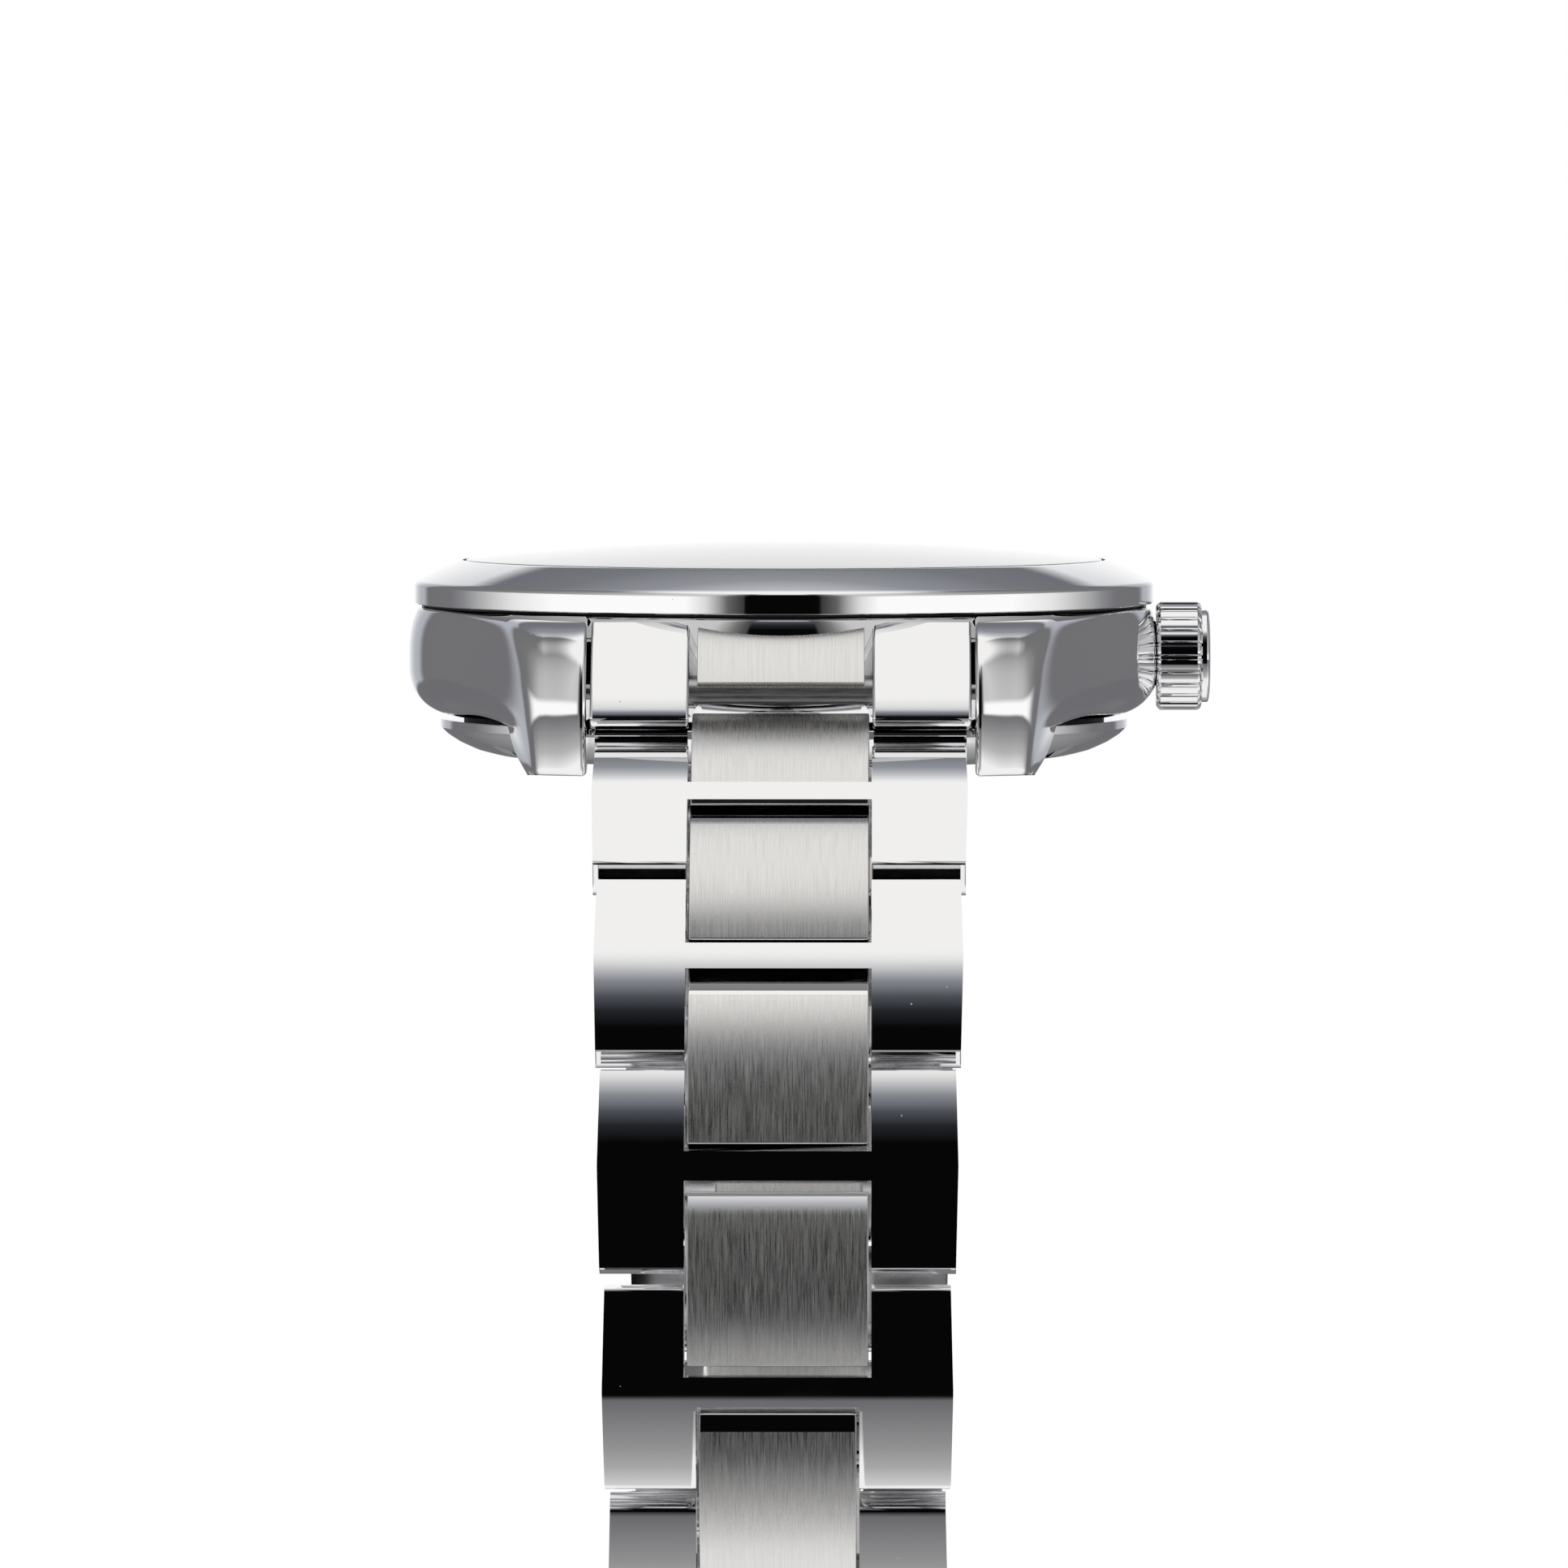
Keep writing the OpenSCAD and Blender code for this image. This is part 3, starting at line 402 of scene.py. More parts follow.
def outerLinkMesh(k):
    s = outerLink
    along = centreLink["pitch"] * k + s["pitch"] * (k - 1)
    widthMid = s["widthAtCase"] - s["taper"] * (along + s["pitch"] / 2)
    bm = bmesh.new()
    prismAlongX(bm, outerOutline(s), -widthMid / 2, widthMid / 2)
    slotUp = centreWidth(k) / 2 + centreLink["clear"]
    slotLow = centreWidth(k + 1) / 2 + centreLink["clear"]
    barTop = (-s["pitch"] + s["bar"]) / 2 * mm
    barLow = (-s["pitch"] - s["bar"]) / 2 * mm
    xs = sorted({-slotUp, slotUp, -slotLow, slotLow})
    cutLevels(bm, [x * mm for x in xs], (1, 0, 0))
    cutLevels(bm, [barTop, barLow], (0, 0, 1))

    near = 1e-7    # metres, for telling which plane a vertex lies in

    def inSlot(place):
        if place.z > barTop + near:
            return abs(place.x) < slotUp * mm
        if place.z < barLow - near:
            return abs(place.x) < slotLow * mm
        return False

    doomed = [f for f in bm.faces if inSlot(f.calc_center_median())]
    bmesh.ops.delete(bm, geom=doomed, context="FACES")
    # each slot wall closes one flat loop of open edges
    walls = [(lambda v, x=x: abs(v.co.x - x * mm) < near and v.co.z > barTop - near)
             for x in (-slotUp, slotUp)]
    walls += [(lambda v, x=x: abs(v.co.x - x * mm) < near and v.co.z < barLow + near)
              for x in (-slotLow, slotLow)]
    walls += [(lambda v, z=z, w=w: abs(v.co.z - z) < near and abs(v.co.x) < w * mm + near)
              for z, w in ((barTop, slotUp), (barLow, slotLow))]
    for onWall in walls:
        border = [e for e in bm.edges if e.is_boundary and all(onWall(v) for v in e.verts)]
        missing = looseEnds(border)
        if len(missing) == 2:
            border.append(bm.edges.new(missing))
        elif len(missing) == 4:
            missing.sort(key=lambda v: (round(v.co.x, 6), v.co.y))
            border += [bm.edges.new(missing[:2]), bm.edges.new(missing[2:])]
        bmesh.ops.contextual_create(bm, geom=border)
    bmesh.ops.remove_doubles(bm, verts=bm.verts, dist=1e-8)
    bmesh.ops.recalc_face_normals(bm, faces=bm.faces)
    # taper of the bracelet, on the outer sides only
    for v in bm.verts:
        if abs(v.co.x) > widthMid / 2 * mm - 1e-6:
            v.co.x -= math.copysign(s["taper"] / 2 * (-v.co.z - s["pitch"] / 2 * mm), v.co.x)
    ends = [e for e in bm.edges if len(e.link_faces) == 2 and e.calc_face_angle() > math.radians(30)
            and abs(e.verts[0].co.z - e.verts[1].co.z) < 1e-6 and e.verts[0].co.y < 0
            and abs(e.verts[0].co.z + s["pitch"] / 2 * mm) > s["length"] / 2 * mm - 1e-5]
    bmesh.ops.bevel(bm, geom=ends, offset=s["endBevel"] * mm, segments=1, profile=0.5, affect="EDGES",
                    clamp_overlap=True, material=-1)
    bevelSharp(bm, s["edge"], angle=24, segments=3)
    return bm


def looseEnds(edges):
    # vertices that only one of the edges touches
    counts = {}
    for edge in edges:
        for vert in edge.verts:
            counts[vert] = counts.get(vert, 0) + 1
    return [vert for vert, count in counts.items() if count == 1]


def centreOutline(s):
    half = s["half"]
    low = arcPoints(0, -s["pitch"], half, -90, 0, 10)
    high = arcPoints(0, 0, half, 0, 90, 10)
    up, down = (math.degrees(math.asin((s["pitch"] / 2 + s[reach]) / s["crown"]))
                for reach in ("reachUp", "reachDown"))
    face = arcPoints(s["crown"] - s["crest"], -s["pitch"] / 2, s["crown"], 180 - up, 180 + down, 20)
    front = [(s["chamferUp"], half), *face, (s["chamferDown"], -s["pitch"] - half)]
    return high + front + low


def centreLinkMesh(k):
    s = centreLink
    width = centreWidth(k)
    bm = bmesh.new()
    prismAlongX(bm, centreOutline(s), -width / 2, width / 2)
    bevelSharp(bm, s["edge"], angle=24, segments=3)
    # only the outer face is brushed; the chamfers and ends stay polished
    bm.normal_update()
    for face in bm.faces:
        face.material_index = 0 if abs(face.normal.z) < 0.42 or abs(face.normal.x) > 0.6 else 1
    return bm


def mirrorAcross(bm):
    # from the 6 o'clock side to the 12 o'clock side
    bmesh.ops.transform(bm, matrix=Matrix.Scale(-1, 4, (0, 1, 0)), verts=bm.verts)
    bmesh.ops.reverse_faces(bm, faces=bm.faces)


def placeLink(bm, matrix, mirrored):
    bmesh.ops.transform(bm, matrix=matrix, verts=bm.verts)
    if mirrored:
        mirrorAcross(bm)


def chainPins():
    names = []
    for k in range(1, 8):
        names += [f"centre_link_6_{k}_hinge", f"h_link_6_{k}_hinge"]
    return [hingePlace(name) for name in names + ["clasp_link_hinge", "clasp_cover_hinge"]]


def makeBracelet():
    pins = chainPins()
    for side in (6, 12):
        for k in range(1, 8):
            top, mid, low = pins[2 * k - 2], pins[2 * k - 1], pins[2 * k]
            bm = centreLinkMesh(k)
            mapFaces(bm)
            placeLink(bm, linkMatrix(top, mid), side == 12)
            node = f"centre_link_{side}_{k}"
            finishPiece(f"centreLink_{side}_{k}", bm, [brushed, polished], node, [node])
            bm = outerLinkMesh(k)
            mapFaces(bm)
            placeLink(bm, linkMatrix(mid, low), side == 12)
            node = f"h_link_{side}_{k}"
            finishPiece(f"outerLink_{side}_{k}", bm, [polished], node, [node])
    print("bracelet links made")


makeBracelet()


# bezel: radii and heights in mm
bezelShape = {"outer": 19.5, "face": 2.55, "top": 10.5, "shoulder": 9.3, "low": 8.06, "groove": 0.35,
              "band": 0.13, "inner": 15.7, "ledge": 8.9, "bulge": 0.04}


def makeBezel():
    s = bezelShape
    rim = s["outer"] - s["face"]
    bm = bmesh.new()
    lip = s["outer"] - 0.12
    fall = s["top"] - s["shoulder"] - 0.06
    cone = []
    for i in range(13):
        share = i / 12
        bulge = s["bulge"] * 4 * share * (1 - share)
        cone.append((rim + (lip - rim) * share, s["top"] - fall * share + bulge))
    spinProfile(bm, cone + [(s["outer"], s["shoulder"] - 0.1), (s["outer"], s["low"] + s["band"]),
                     (s["outer"] - s["groove"], s["low"] + s["band"]), (s["outer"] - s["groove"], s["low"]),
                     (s["inner"], s["low"]), (s["inner"], s["ledge"]), (rim, s["ledge"])], steps=180)
    bevelSharp(bm, 0.1, angle=22, segments=3)
    # painted shade: the groove faces under the band get the dark rubber, a dark line standing in for the
    # shadow in the joint
    for face in bm.faces:
        middle = face.calc_center_median() / mm
        reach = math.hypot(middle.x, middle.y)
        if abs(reach - s["outer"] + s["groove"]) < 0.08 and middle.z < s["low"] + s["band"] + 0.02:
            face.material_index = 1
    finishPiece("bezelRing", bm, [polished, rubberAndGrooveShade], "case", ["bezel"])


# crystal: radii and heights in mm
crystalShape = {"radius": 16.8, "low": 8.9, "rim": 10.5, "dome": 0.95, "hollow": 0.85, "rings": 18}


def makeCrystal():
    s = crystalShape
    bm = bmesh.new()
    top = []
    for i in range(s["rings"] + 1):
        share = i / s["rings"]
        top.append((s["radius"] * share, s["rim"] + s["dome"] * (1 - share * share)))
    # the underside follows the dome, as on a double-domed crystal
    under = [(s["radius"] * (1 - i / 12), s["low"] + s["hollow"] * (1 - (1 - i / 12) ** 2))
             for i in range(13)]
    spinProfile(bm, top + under, steps=180, closed=False)
    bevelSharp(bm, 0.12, angle=40, segments=3)
    finishPiece("crystalGlass", bm, [sapphire], "case", ["crystal"])


makeBezel()
makeCrystal()
print("bezel and crystal made")


# case middle with its four lugs, in mm; each table runs from low to high as (height, value)
caseShape = {
    "radius": 19.8, "topRadius": 19.3, "mid": 5.1, "low": 2.3, "top": 8.04, "cavity": 15.8,
    "inner": 10.0, "flareSlope": 0.27,
    "tipMid": 3.6, "tipRise": 4.4, "tipBase": 17.6, "tipReach": 5.5, "tipUnder": 8.0,
    "topEdge": [(0.14, 0.0), (0.09, 0.02), (0.045, 0.05), (0.015, 0.09), (0, 0.15)],
    "corner": [(0, 12.8), (1.7, 13.05), (3.4, 13.3), (4.4, 13.45), (5.5, 13.6), (6.6, 13.9), (8, 14.4)],
    "cornerRadius": [(0, 0.5), (2.3, 0.95), (3.4, 1.2), (4.6, 1.4), (6.2, 1.7), (8, 2.3)],
    "root": [(2.3, 16.0), (2.6, 16.7), (3.0, 17.4), (3.4, 17.8), (4.2, 18.0), (8, 18.0)],
    "underRoot": [(0, 13.05), (1.0, 13.75), (2.3, 14.25)],
    "underFlare": [(0, 0.36), (1.2, 0.25), (2.3, 0.127)],
    "underBack": [(0, -20.7), (0.8, -18.0), (1.6, -15.8), (2.3, -14.2)],
}


def smoothAt(table, place):
    # a smooth curve through (place, value) pairs
    if place <= table[0][0]:
        return table[0][1]
    for i in range(len(table) - 1):
        (x0, v0), (x1, v1) = table[i], table[i + 1]
        if place <= x1:
            before, after = table[max(i - 1, 0)], table[min(i + 2, len(table) - 1)]
            m0 = (v1 - before[1]) / (x1 - before[0])
            m1 = (after[1] - v0) / (after[0] - x0)
            return hermite(x0, v0, m0, x1, v1, m1, place)
    return table[-1][1]


def hermite(x0, v0, m0, x1, v1, m1, x):
    h = x1 - x0
    t = (x - x0) / h
    return (v0 * (2 * t ** 3 - 3 * t * t + 1) + m0 * h * (t ** 3 - 2 * t * t + t)
            + v1 * (3 * t * t - 2 * t ** 3) + m1 * h * (t ** 3 - t * t))


def flankRadius(z):
    s = caseShape
    if z >= s["mid"]:
        return s["radius"] - (s["radius"] - s["topRadius"]) * ((z - s["mid"]) / (8.0 - s["mid"])) ** 3
    drop = (s["mid"] - z) / (s["mid"] - s["low"])
    return s["radius"] - 2.5 + 2.5 * max(0.0, 1 - drop ** 2.6) ** 0.526


def tipDepth(z):
    # how far out the lug's end reaches at a height
    s = caseShape
    if z >= s["tipMid"]:
        rise = min(1.0, (z - s["tipMid"]) / s["tipRise"])
        return s["tipBase"] + s["tipReach"] * math.sqrt(max(0.0, 1 - rise * rise))
    fall = (s["tipMid"] - z) / s["tipUnder"]
    return s["tipBase"] + s["tipReach"] - s["tipUnder"] * (1 - math.sqrt(1 - fall * fall))


def bezier(a, b, c, d, count):
    points = []
    for i in range(count + 1):
        t = i / count
        points.append(tuple((1 - t) ** 3 * p + 3 * t * (1 - t) ** 2 * q + 3 * t * t * (1 - t) * r + t ** 3 * w
                            for p, q, r, w in zip(a, b, c, d)))
    return points


def lugFront(z):
    # plan outline of a lug at +X, -Y: from its outer side round the end to its inner side
    s = caseShape
    tip = tipDepth(z)
    corner = smoothAt(s["corner"], z)
    r = smoothAt(s["cornerRadius"], z)
    inner = s["inner"] + 0.2
    turn = (corner - r * 0.75, -tip + 0.25 + 0.28 * (corner - r * 0.75 - inner))
    start = (corner, turn[1] + r * 1.3)
    rounding = bezier(start, (corner - s["flareSlope"] * 0.75 * r, start[1] - 0.75 * r),
                      (turn[0] + 0.45 * r, turn[1] + 0.24 * r), turn, 10)
    face = bezier(turn, (turn[0] - 0.9, turn[1] - 0.36), (inner + 0.8, -tip + 0.13), (inner, -tip), 8)[1:]
    lip = arcPoints(inner, -tip + 0.2, 0.2, 270, 180, 4)[1:]
    return start, rounding + face + lip


def sideAt(start, end, slope, y):
    # from the lug's corner, where it flares at a set slope, back to the flank
    return hermite(start[1], start[0], caseShape["flareSlope"], end[1], end[0], slope, y)


def quarterOutline(z):
    s = caseShape
    radius = flankRadius(z)
    root = smoothAt(s["root"], z)
    end = (root, -math.sqrt(radius * radius - root * root))
    slope = -end[1] / end[0]
    start, front = lugFront(z)
    reach = math.degrees(math.atan2(-end[1], end[0]))
    flank = arcPoints(0, 0, radius, 0, -reach, 20)
    side = [(sideAt(start, end, slope, end[1] + (start[1] - end[1]) * i / 14),
             end[1] + (start[1] - end[1]) * i / 14) for i in range(1, 14)]
    wall = math.degrees(math.atan2(math.sqrt(radius * radius - s["inner"] ** 2), s["inner"]))
    back = -radius * math.sin(math.radians(wall))
    begin = front[-1][1]
    inside = [(s["inner"], begin + (back - begin) * i / 4) for i in range(1, 4)]
    between = arcPoints(0, 0, radius, -wall, -90, 10)
    return flank + side + front + inside + between


def shrink(outline, amount):
    # moves a closed outline inwards by an amount in mm
    count = len(outline)
    moved = []
    for i, (x, y) in enumerate(outline):
        (ax, ay), (bx, by) = outline[i - 1], outline[(i + 1) % count]
        dx, dy = bx - ax, by - ay
        size = math.hypot(dx, dy) or 1
        moved.append((x + dy / size * amount, y - dx / size * amount))
    return moved


def wholeOutline(z):
    quarter = quarterOutline(z)
    lower = quarter + [(-x, y) for x, y in reversed(quarter[:-1])]
    upper = [(x, -y) for x, y in reversed(lower[1:-1])]
    return lower + upper


def addLoop(bm, outline, z):
    verts = [bm.verts.new((x * mm, y * mm, z * mm)) for x, y in outline]
    edges = [bm.edges.new(pair) for pair in zip(verts, verts[1:] + verts[:1])]
    return edges


def loft(bm, loops):
    for low, high in zip(loops, loops[1:]):
        bmesh.ops.bridge_loops(bm, edges=low + high)


def caseRows():
    # (height, inset): the underside is rounded by its own profile, the top edge by small insets
    s = caseShape
    low = [(s["mid"] - (s["mid"] - s["low"]) * math.sin(math.radians(90 - 6 * i)), 0) for i in range(15)]
    low[0] = (s["low"], 0)
    high = []
    phi = 22.0
    while phi < 84:
        high.append((s["tipMid"] + s["tipRise"] * math.sin(math.radians(phi)), 0))
        phi += 3.5
    rim = [(s["top"] - drop, inset) for drop, inset in s["topEdge"]]
    low = [row for row in low if row[0] < high[0][0] - 0.05]
    high = [row for row in high if row[0] < rim[0][0] - 0.02]
    return low + high + rim


def makeCase():
    s = caseShape
    bm = bmesh.new()
    rows = caseRows()
    loops = [addLoop(bm, shrink(wholeOutline(z), inset), z) for z, inset in rows]
    loft(bm, loops)
    holes = [addLoop(bm, arcPoints(0, 0, s["cavity"], 0, 360, 144)[:-1], z) for z in (s["low"], s["top"])]
    loft(bm, holes)
    bmesh.ops.triangle_fill(bm, edges=loops[0] + holes[0], use_beauty=False)
    bmesh.ops.triangle_fill(bm, edges=loops[-1] + holes[1], use_beauty=False)
    for sx in (1, -1):
        for sy in (1, -1):
            addLugTip(bm, sx, sy)
    bmesh.ops.recalc_face_normals(bm, faces=bm.faces)
    finishPiece("caseMiddle", bm, [polished], "case", ["case_body"], sharp=32)


def addLugTip(bm, sx, sy):
    # the part of a lug below the case's underside
    s = caseShape
    loops = []
    rows = [(0.0, 0.24), (0.03, 0.14), (0.09, 0.06), (0.17, 0.015), (0.27, 0)]
    rows += [(0.27 + (s["low"] - 0.27) * i / 11, 0) for i in range(1, 12)]
    for z, inset in rows:
        start, front = lugFront(z)
        back = smoothAt(s["underBack"], z)
        root = smoothAt(s["underRoot"], z)
        flare = smoothAt(s["underFlare"], z)    # meets the case's own side without a ledge
        side = [(sideAt(start, (root, back), flare, back + (start[1] - back) * i / 10),
                 back + (start[1] - back) * i / 10) for i in range(0, 10)]
        begin = front[-1][1]
        inside = [(s["inner"], begin + (back - begin) * i / 4) for i in range(1, 5)]
        behind = [(s["inner"] + (root - s["inner"]) * i / 4, back) for i in range(1, 4)]
        outline = shrink(side + front + inside + behind, inset)
        loops.append(addLoop(bm, [(x * sx, y * sy) for x, y in outline], z))
    loft(bm, loops)
    for loop in (loops[0], loops[-1]):
        bmesh.ops.triangle_fill(bm, edges=loop, use_beauty=False)


makeCase()
print("case made")


# end links, inside the lug gap, in mm
endLink = {
    "faceX": -12.05, "faceZ": -3.43, "faceRadius": 13.0, "top": 7.8, "low": 3.2, "wall": 18.3,
    "outer": 9.8, "inner": 4.72, "centre": 4.3, "mouth": 4.8, "edge": 0.5, "centreEdge": 0.12,
    # lower edge of the side blocks, (distance behind the face's foot, height)
    "roll": [(-0.05, 3.02), (0, 2.82), (0.14, 2.64), (0.4, 2.52), (1.6, 2.42)],
    # lower lip that holds the first pin, with bevelled ridges: (y, z)
    "lip": [(-22.2, 2.35), (-22.75, 2.25), (-22.8, 2.12), (-22.55, 1.95), (-22.6, 1.75), (-22.4, 1.2),
            (-21.9, 0.6), (-21.2, 0.25), (-20.4, 0.35), (-19.8, 0.9), (-19.6, 2.35)],
    "underside": [(-21.72, 4.62), (-21.66, 3.95), (-20.0, 3.95)],
}


def facePoint(z):
    # y of the end link's rounded face at a height
    s = endLink
    return s["faceX"] - math.sqrt(s["faceRadius"] ** 2 - (z - s["faceZ"]) ** 2)


def endBlock(bm, x0, x1, low, under):
    # outline in (y, z): slanting face, rolled lower edge, underside and back
    s = endLink
    face = [(facePoint(s["top"] - (s["top"] - low) * i / 16), s["top"] - (s["top"] - low) * i / 16)
            for i in range(17)]
    outline = face + under + [(-s["wall"], under[-1][1]), (-s["wall"], s["top"])]
    return prismAlongX(bm, outline, x0, x1)


def makeEndLink(side):
    s = endLink
    seenFrom = -18.35 * mm    # edges nearer the case than this stay square
    foot = facePoint(s["low"])
    sides = bmesh.new()
    for sx in (-1, 1):
        x0, x1 = sorted((sx * s["inner"], sx * s["outer"]))
        endBlock(sides, x0, x1, s["low"], [(foot + back, z) for back, z in s["roll"]])
    bevelSharp(sides, s["edge"], angle=38, segments=5, keep=lambda e: e.verts[0].co.z > 2.3 * mm
               and max(v.co.y for v in e.verts) < seenFrom)
    # the lip is a little narrower than the block above it
    for sx in (-1, 1):
        x0, x1 = sorted((sx * (s["inner"] + 0.05), sx * (s["outer"] - 0.25)))
        prismAlongX(sides, s["lip"], x0, x1)
    centre = bmesh.new()
    under = [(facePoint(s["mouth"]) + 0.05, s["mouth"] - 0.08)] + s["underside"]
    endBlock(centre, -s["centre"], s["centre"], s["mouth"], under)
    bevelSharp(centre, s["centreEdge"], angle=38, segments=3,
               keep=lambda e: max(v.co.y for v in e.verts) < seenFrom)
    mapFaces(centre)
    if side == 12:
        mirrorAcross(sides)
        mirrorAcross(centre)
    node = f"end_link_{side}"
    finishPiece(f"endLinkSides_{side}", sides, [polished], "case", [node])
    finishPiece(f"endLinkCentre_{side}", centre, [brushed], "case", [node])


for side in (6, 12):
    makeEndLink(side)
print("end links made")


# crown, in mm
crownShape = {
    "teeth": 24, "radius": 2.87, "z": 5.4, "baseX": 19.62, "baseRadius": 1.5,
    # share of a tooth's pitch and depth below the crest
    "tooth": [(0.0, 0.25), (0.08, 0.24), (0.13, 0.1), (0.19, 0.015), (0.27, 0.0), (0.5, -0.01), (0.73, 0.0),
              (0.81, 0.015), (0.87, 0.1), (0.92, 0.24)],
    # distance along X and how far the teeth are drawn in there
    "rows": [(19.62, 0.34), (19.66, 0.2), (19.74, 0.08), (19.86, 0.0), (21.8, 0.0), (21.92, 0.06),
             (22.0, 0.16), (22.04, 0.3)],
    "cap": [(2.46, 22.06), (2.46, 22.3), (2.42, 22.38), (2.3, 22.44), (1.9, 22.49), (1.1, 22.53),
            (0.35, 22.55)],
}


def makeCrown():
    s = crownShape
    bm = bmesh.new()
    count = s["teeth"] * len(s["tooth"])

    def ringAt(x, radiusOf):
        points = []
        for i in range(count):
            angle = math.tau * (i // len(s["tooth"]) + s["tooth"][i % len(s["tooth"])][0]) / s["teeth"]
            radius = radiusOf(i % len(s["tooth"]))
            points.append((x, radius * math.sin(angle), s["z"] + radius * math.cos(angle)))
        verts = [bm.verts.new((a * mm, b * mm, c * mm)) for a, b, c in points]
        return [bm.edges.new(pair) for pair in zip(verts, verts[1:] + verts[:1])]

    loops = [ringAt(s["baseX"], lambda i: s["baseRadius"])]
    for x, inset in s["rows"]:
        loops.append(ringAt(x, lambda i: s["radius"] - inset - s["tooth"][i][1]))
    for radius, x in s["cap"]:
        loops.append(ringAt(x, lambda i: radius))
    loft(bm, loops)
    for loop in (loops[0], loops[-1]):
        bmesh.ops.triangle_fill(bm, edges=loop, use_beauty=False)
    bmesh.ops.recalc_face_normals(bm, faces=bm.faces)
    finishPiece("crownKnob", bm, [polished], "crown", ["crown"], sharp=20,
                weighted=False)


makeCrown()
print("crown made")


# case back, in mm: slope and rim are (radius, height)
backShape = {
    "slope": [(13.0, 0.0), (13.5, 0.02), (14.6, 0.12), (15.6, 0.3), (16.5, 0.58), (17.3, 0.98),
              (17.85, 1.36), (18.1, 1.62)],
    "rim": [(18.15, 1.7), (18.15, 2.1), (18.11, 2.14)], "flat": 6.5, "collar": 15.75, "collarFoot": 2.14,
    "collarTop": 3.2, "collarWidth": 1.0, "wall": 1.0,
    # key slots: angles in degrees, the rest in mm
    "slots": 6, "firstSlot": 30, "slotHalf": 2.6, "slotStart": 15.4, "slotEnd": 17.5, "slotTop": 1.4,
    "slotDepth": 0.45, "slotBorder": 0.08, "slotSlope": 0.06,
}


def makeCaseBack():
    s = backShape
    inside = s["collar"] - s["collarWidth"]
    bm = bmesh.new()
    spinProfile(bm, [(0, 0), (s["flat"], 0)] + s["slope"] + s["rim"]
                + [(s["collar"], s["collarFoot"]), (s["collar"], s["collarTop"]), (inside, s["collarTop"]),
                   (inside, s["wall"]), (0, s["wall"])], steps=144, closed=False)
    turn = 360 / s["slots"]
    chosen = []
    for face in bm.faces:
        middle = face.calc_center_median() / mm
        angle = math.degrees(math.atan2(middle.y, middle.x)) - s["firstSlot"]
        offset = (angle + turn / 2) % turn - turn / 2
        reach = math.hypot(middle.x, middle.y)
        underside = middle.z < s["slotTop"] and face.normal.z < -0.1
        if underside and s["slotStart"] < reach < s["slotEnd"] and abs(offset) < s["slotHalf"]:
            chosen.append(face)
    bmesh.ops.inset_region(bm, faces=chosen, thickness=s["slotBorder"] * mm, use_even_offset=True)
    bmesh.ops.inset_region(bm, faces=chosen, thickness=s["slotSlope"] * mm,
                           depth=-s["slotDepth"] * mm, use_even_offset=True)
    finishPiece("caseBackCover", bm, [polished], "case", ["case_back"])


makeCaseBack()
print("case back made")


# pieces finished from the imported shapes: edges broken, then given their metal
# node: (body, slot, material, edge width in mm)
edgedNodes = {
    "clasp_cover": ("clasp_cover", "brushed_steel", claspSteel, 0.16),
    "clasp_link": ("clasp_link", "polished_steel", polished, 0.2),
    "clasp_button_left": ("clasp_button_left", "polished_steel", polished, 0.12),
    "clasp_button_right": ("clasp_button_right", "polished_steel", polished, 0.12),
    "clasp_blade_long": ("clasp_blade_long", "brushed_steel", claspSteel, 0.1),
    "clasp_blade_short": ("clasp_blade_short", "brushed_steel", claspSteel, 0.1),
    "hour_markers": ("case", "polished_steel", polished, 0.12),
    "hour_hand": ("hour_hand", "polished_steel", polished, 0.05),
    "minute_hand": ("minute_hand", "polished_steel", polished, 0.05),
    "seconds_hand": ("seconds_hand", "polished_steel", polished, 0.03),
}
# node: material only, for parts whose shape is already as made
plainNodes = {
    "crystal_gasket": rubberAndGrooveShade, "case_back_gasket": rubberAndGrooveShade, "chapter_ring": satinRing, "dial": dialSilver,
    "movement_holder": holderPlastic, "main_plate": movementMetal, "movement_bridges": movementMetal,
    "balance_wheel": movementMetal, "rotor": rotorSteel, "date_disc": dateWhite, "crown_tube": pinSteel,
    "crown_stem": pinSteel, "setting_lever": pinSteel, "spring_bars": pinSteel, "clasp_pins": pinSteel,
}


def finishFromNode(node, body, slot, material, width):
    bm = bmesh.new()
    bm.from_mesh(frame["nodes"][node].data)
    bmesh.ops.remove_doubles(bm, verts=bm.verts, dist=0.001 * mm)
    bmesh.ops.dissolve_limit(bm, angle_limit=math.radians(1), verts=bm.verts, edges=bm.edges)
    bevelSharp(bm, width, angle=40, segments=2)
    name = "".join(part.capitalize() if i else part for i, part in enumerate(node.split("_")))
    finishPiece(name, bm, [material], body, [node])


for node, settings in edgedNodes.items():
    finishFromNode(node, *settings)
for node, material in plainNodes.items():
    mesh = frame["nodes"][node].data
    mesh.materials.clear()
    mesh.materials.append(material)
print("clasp, dial and movement finished")


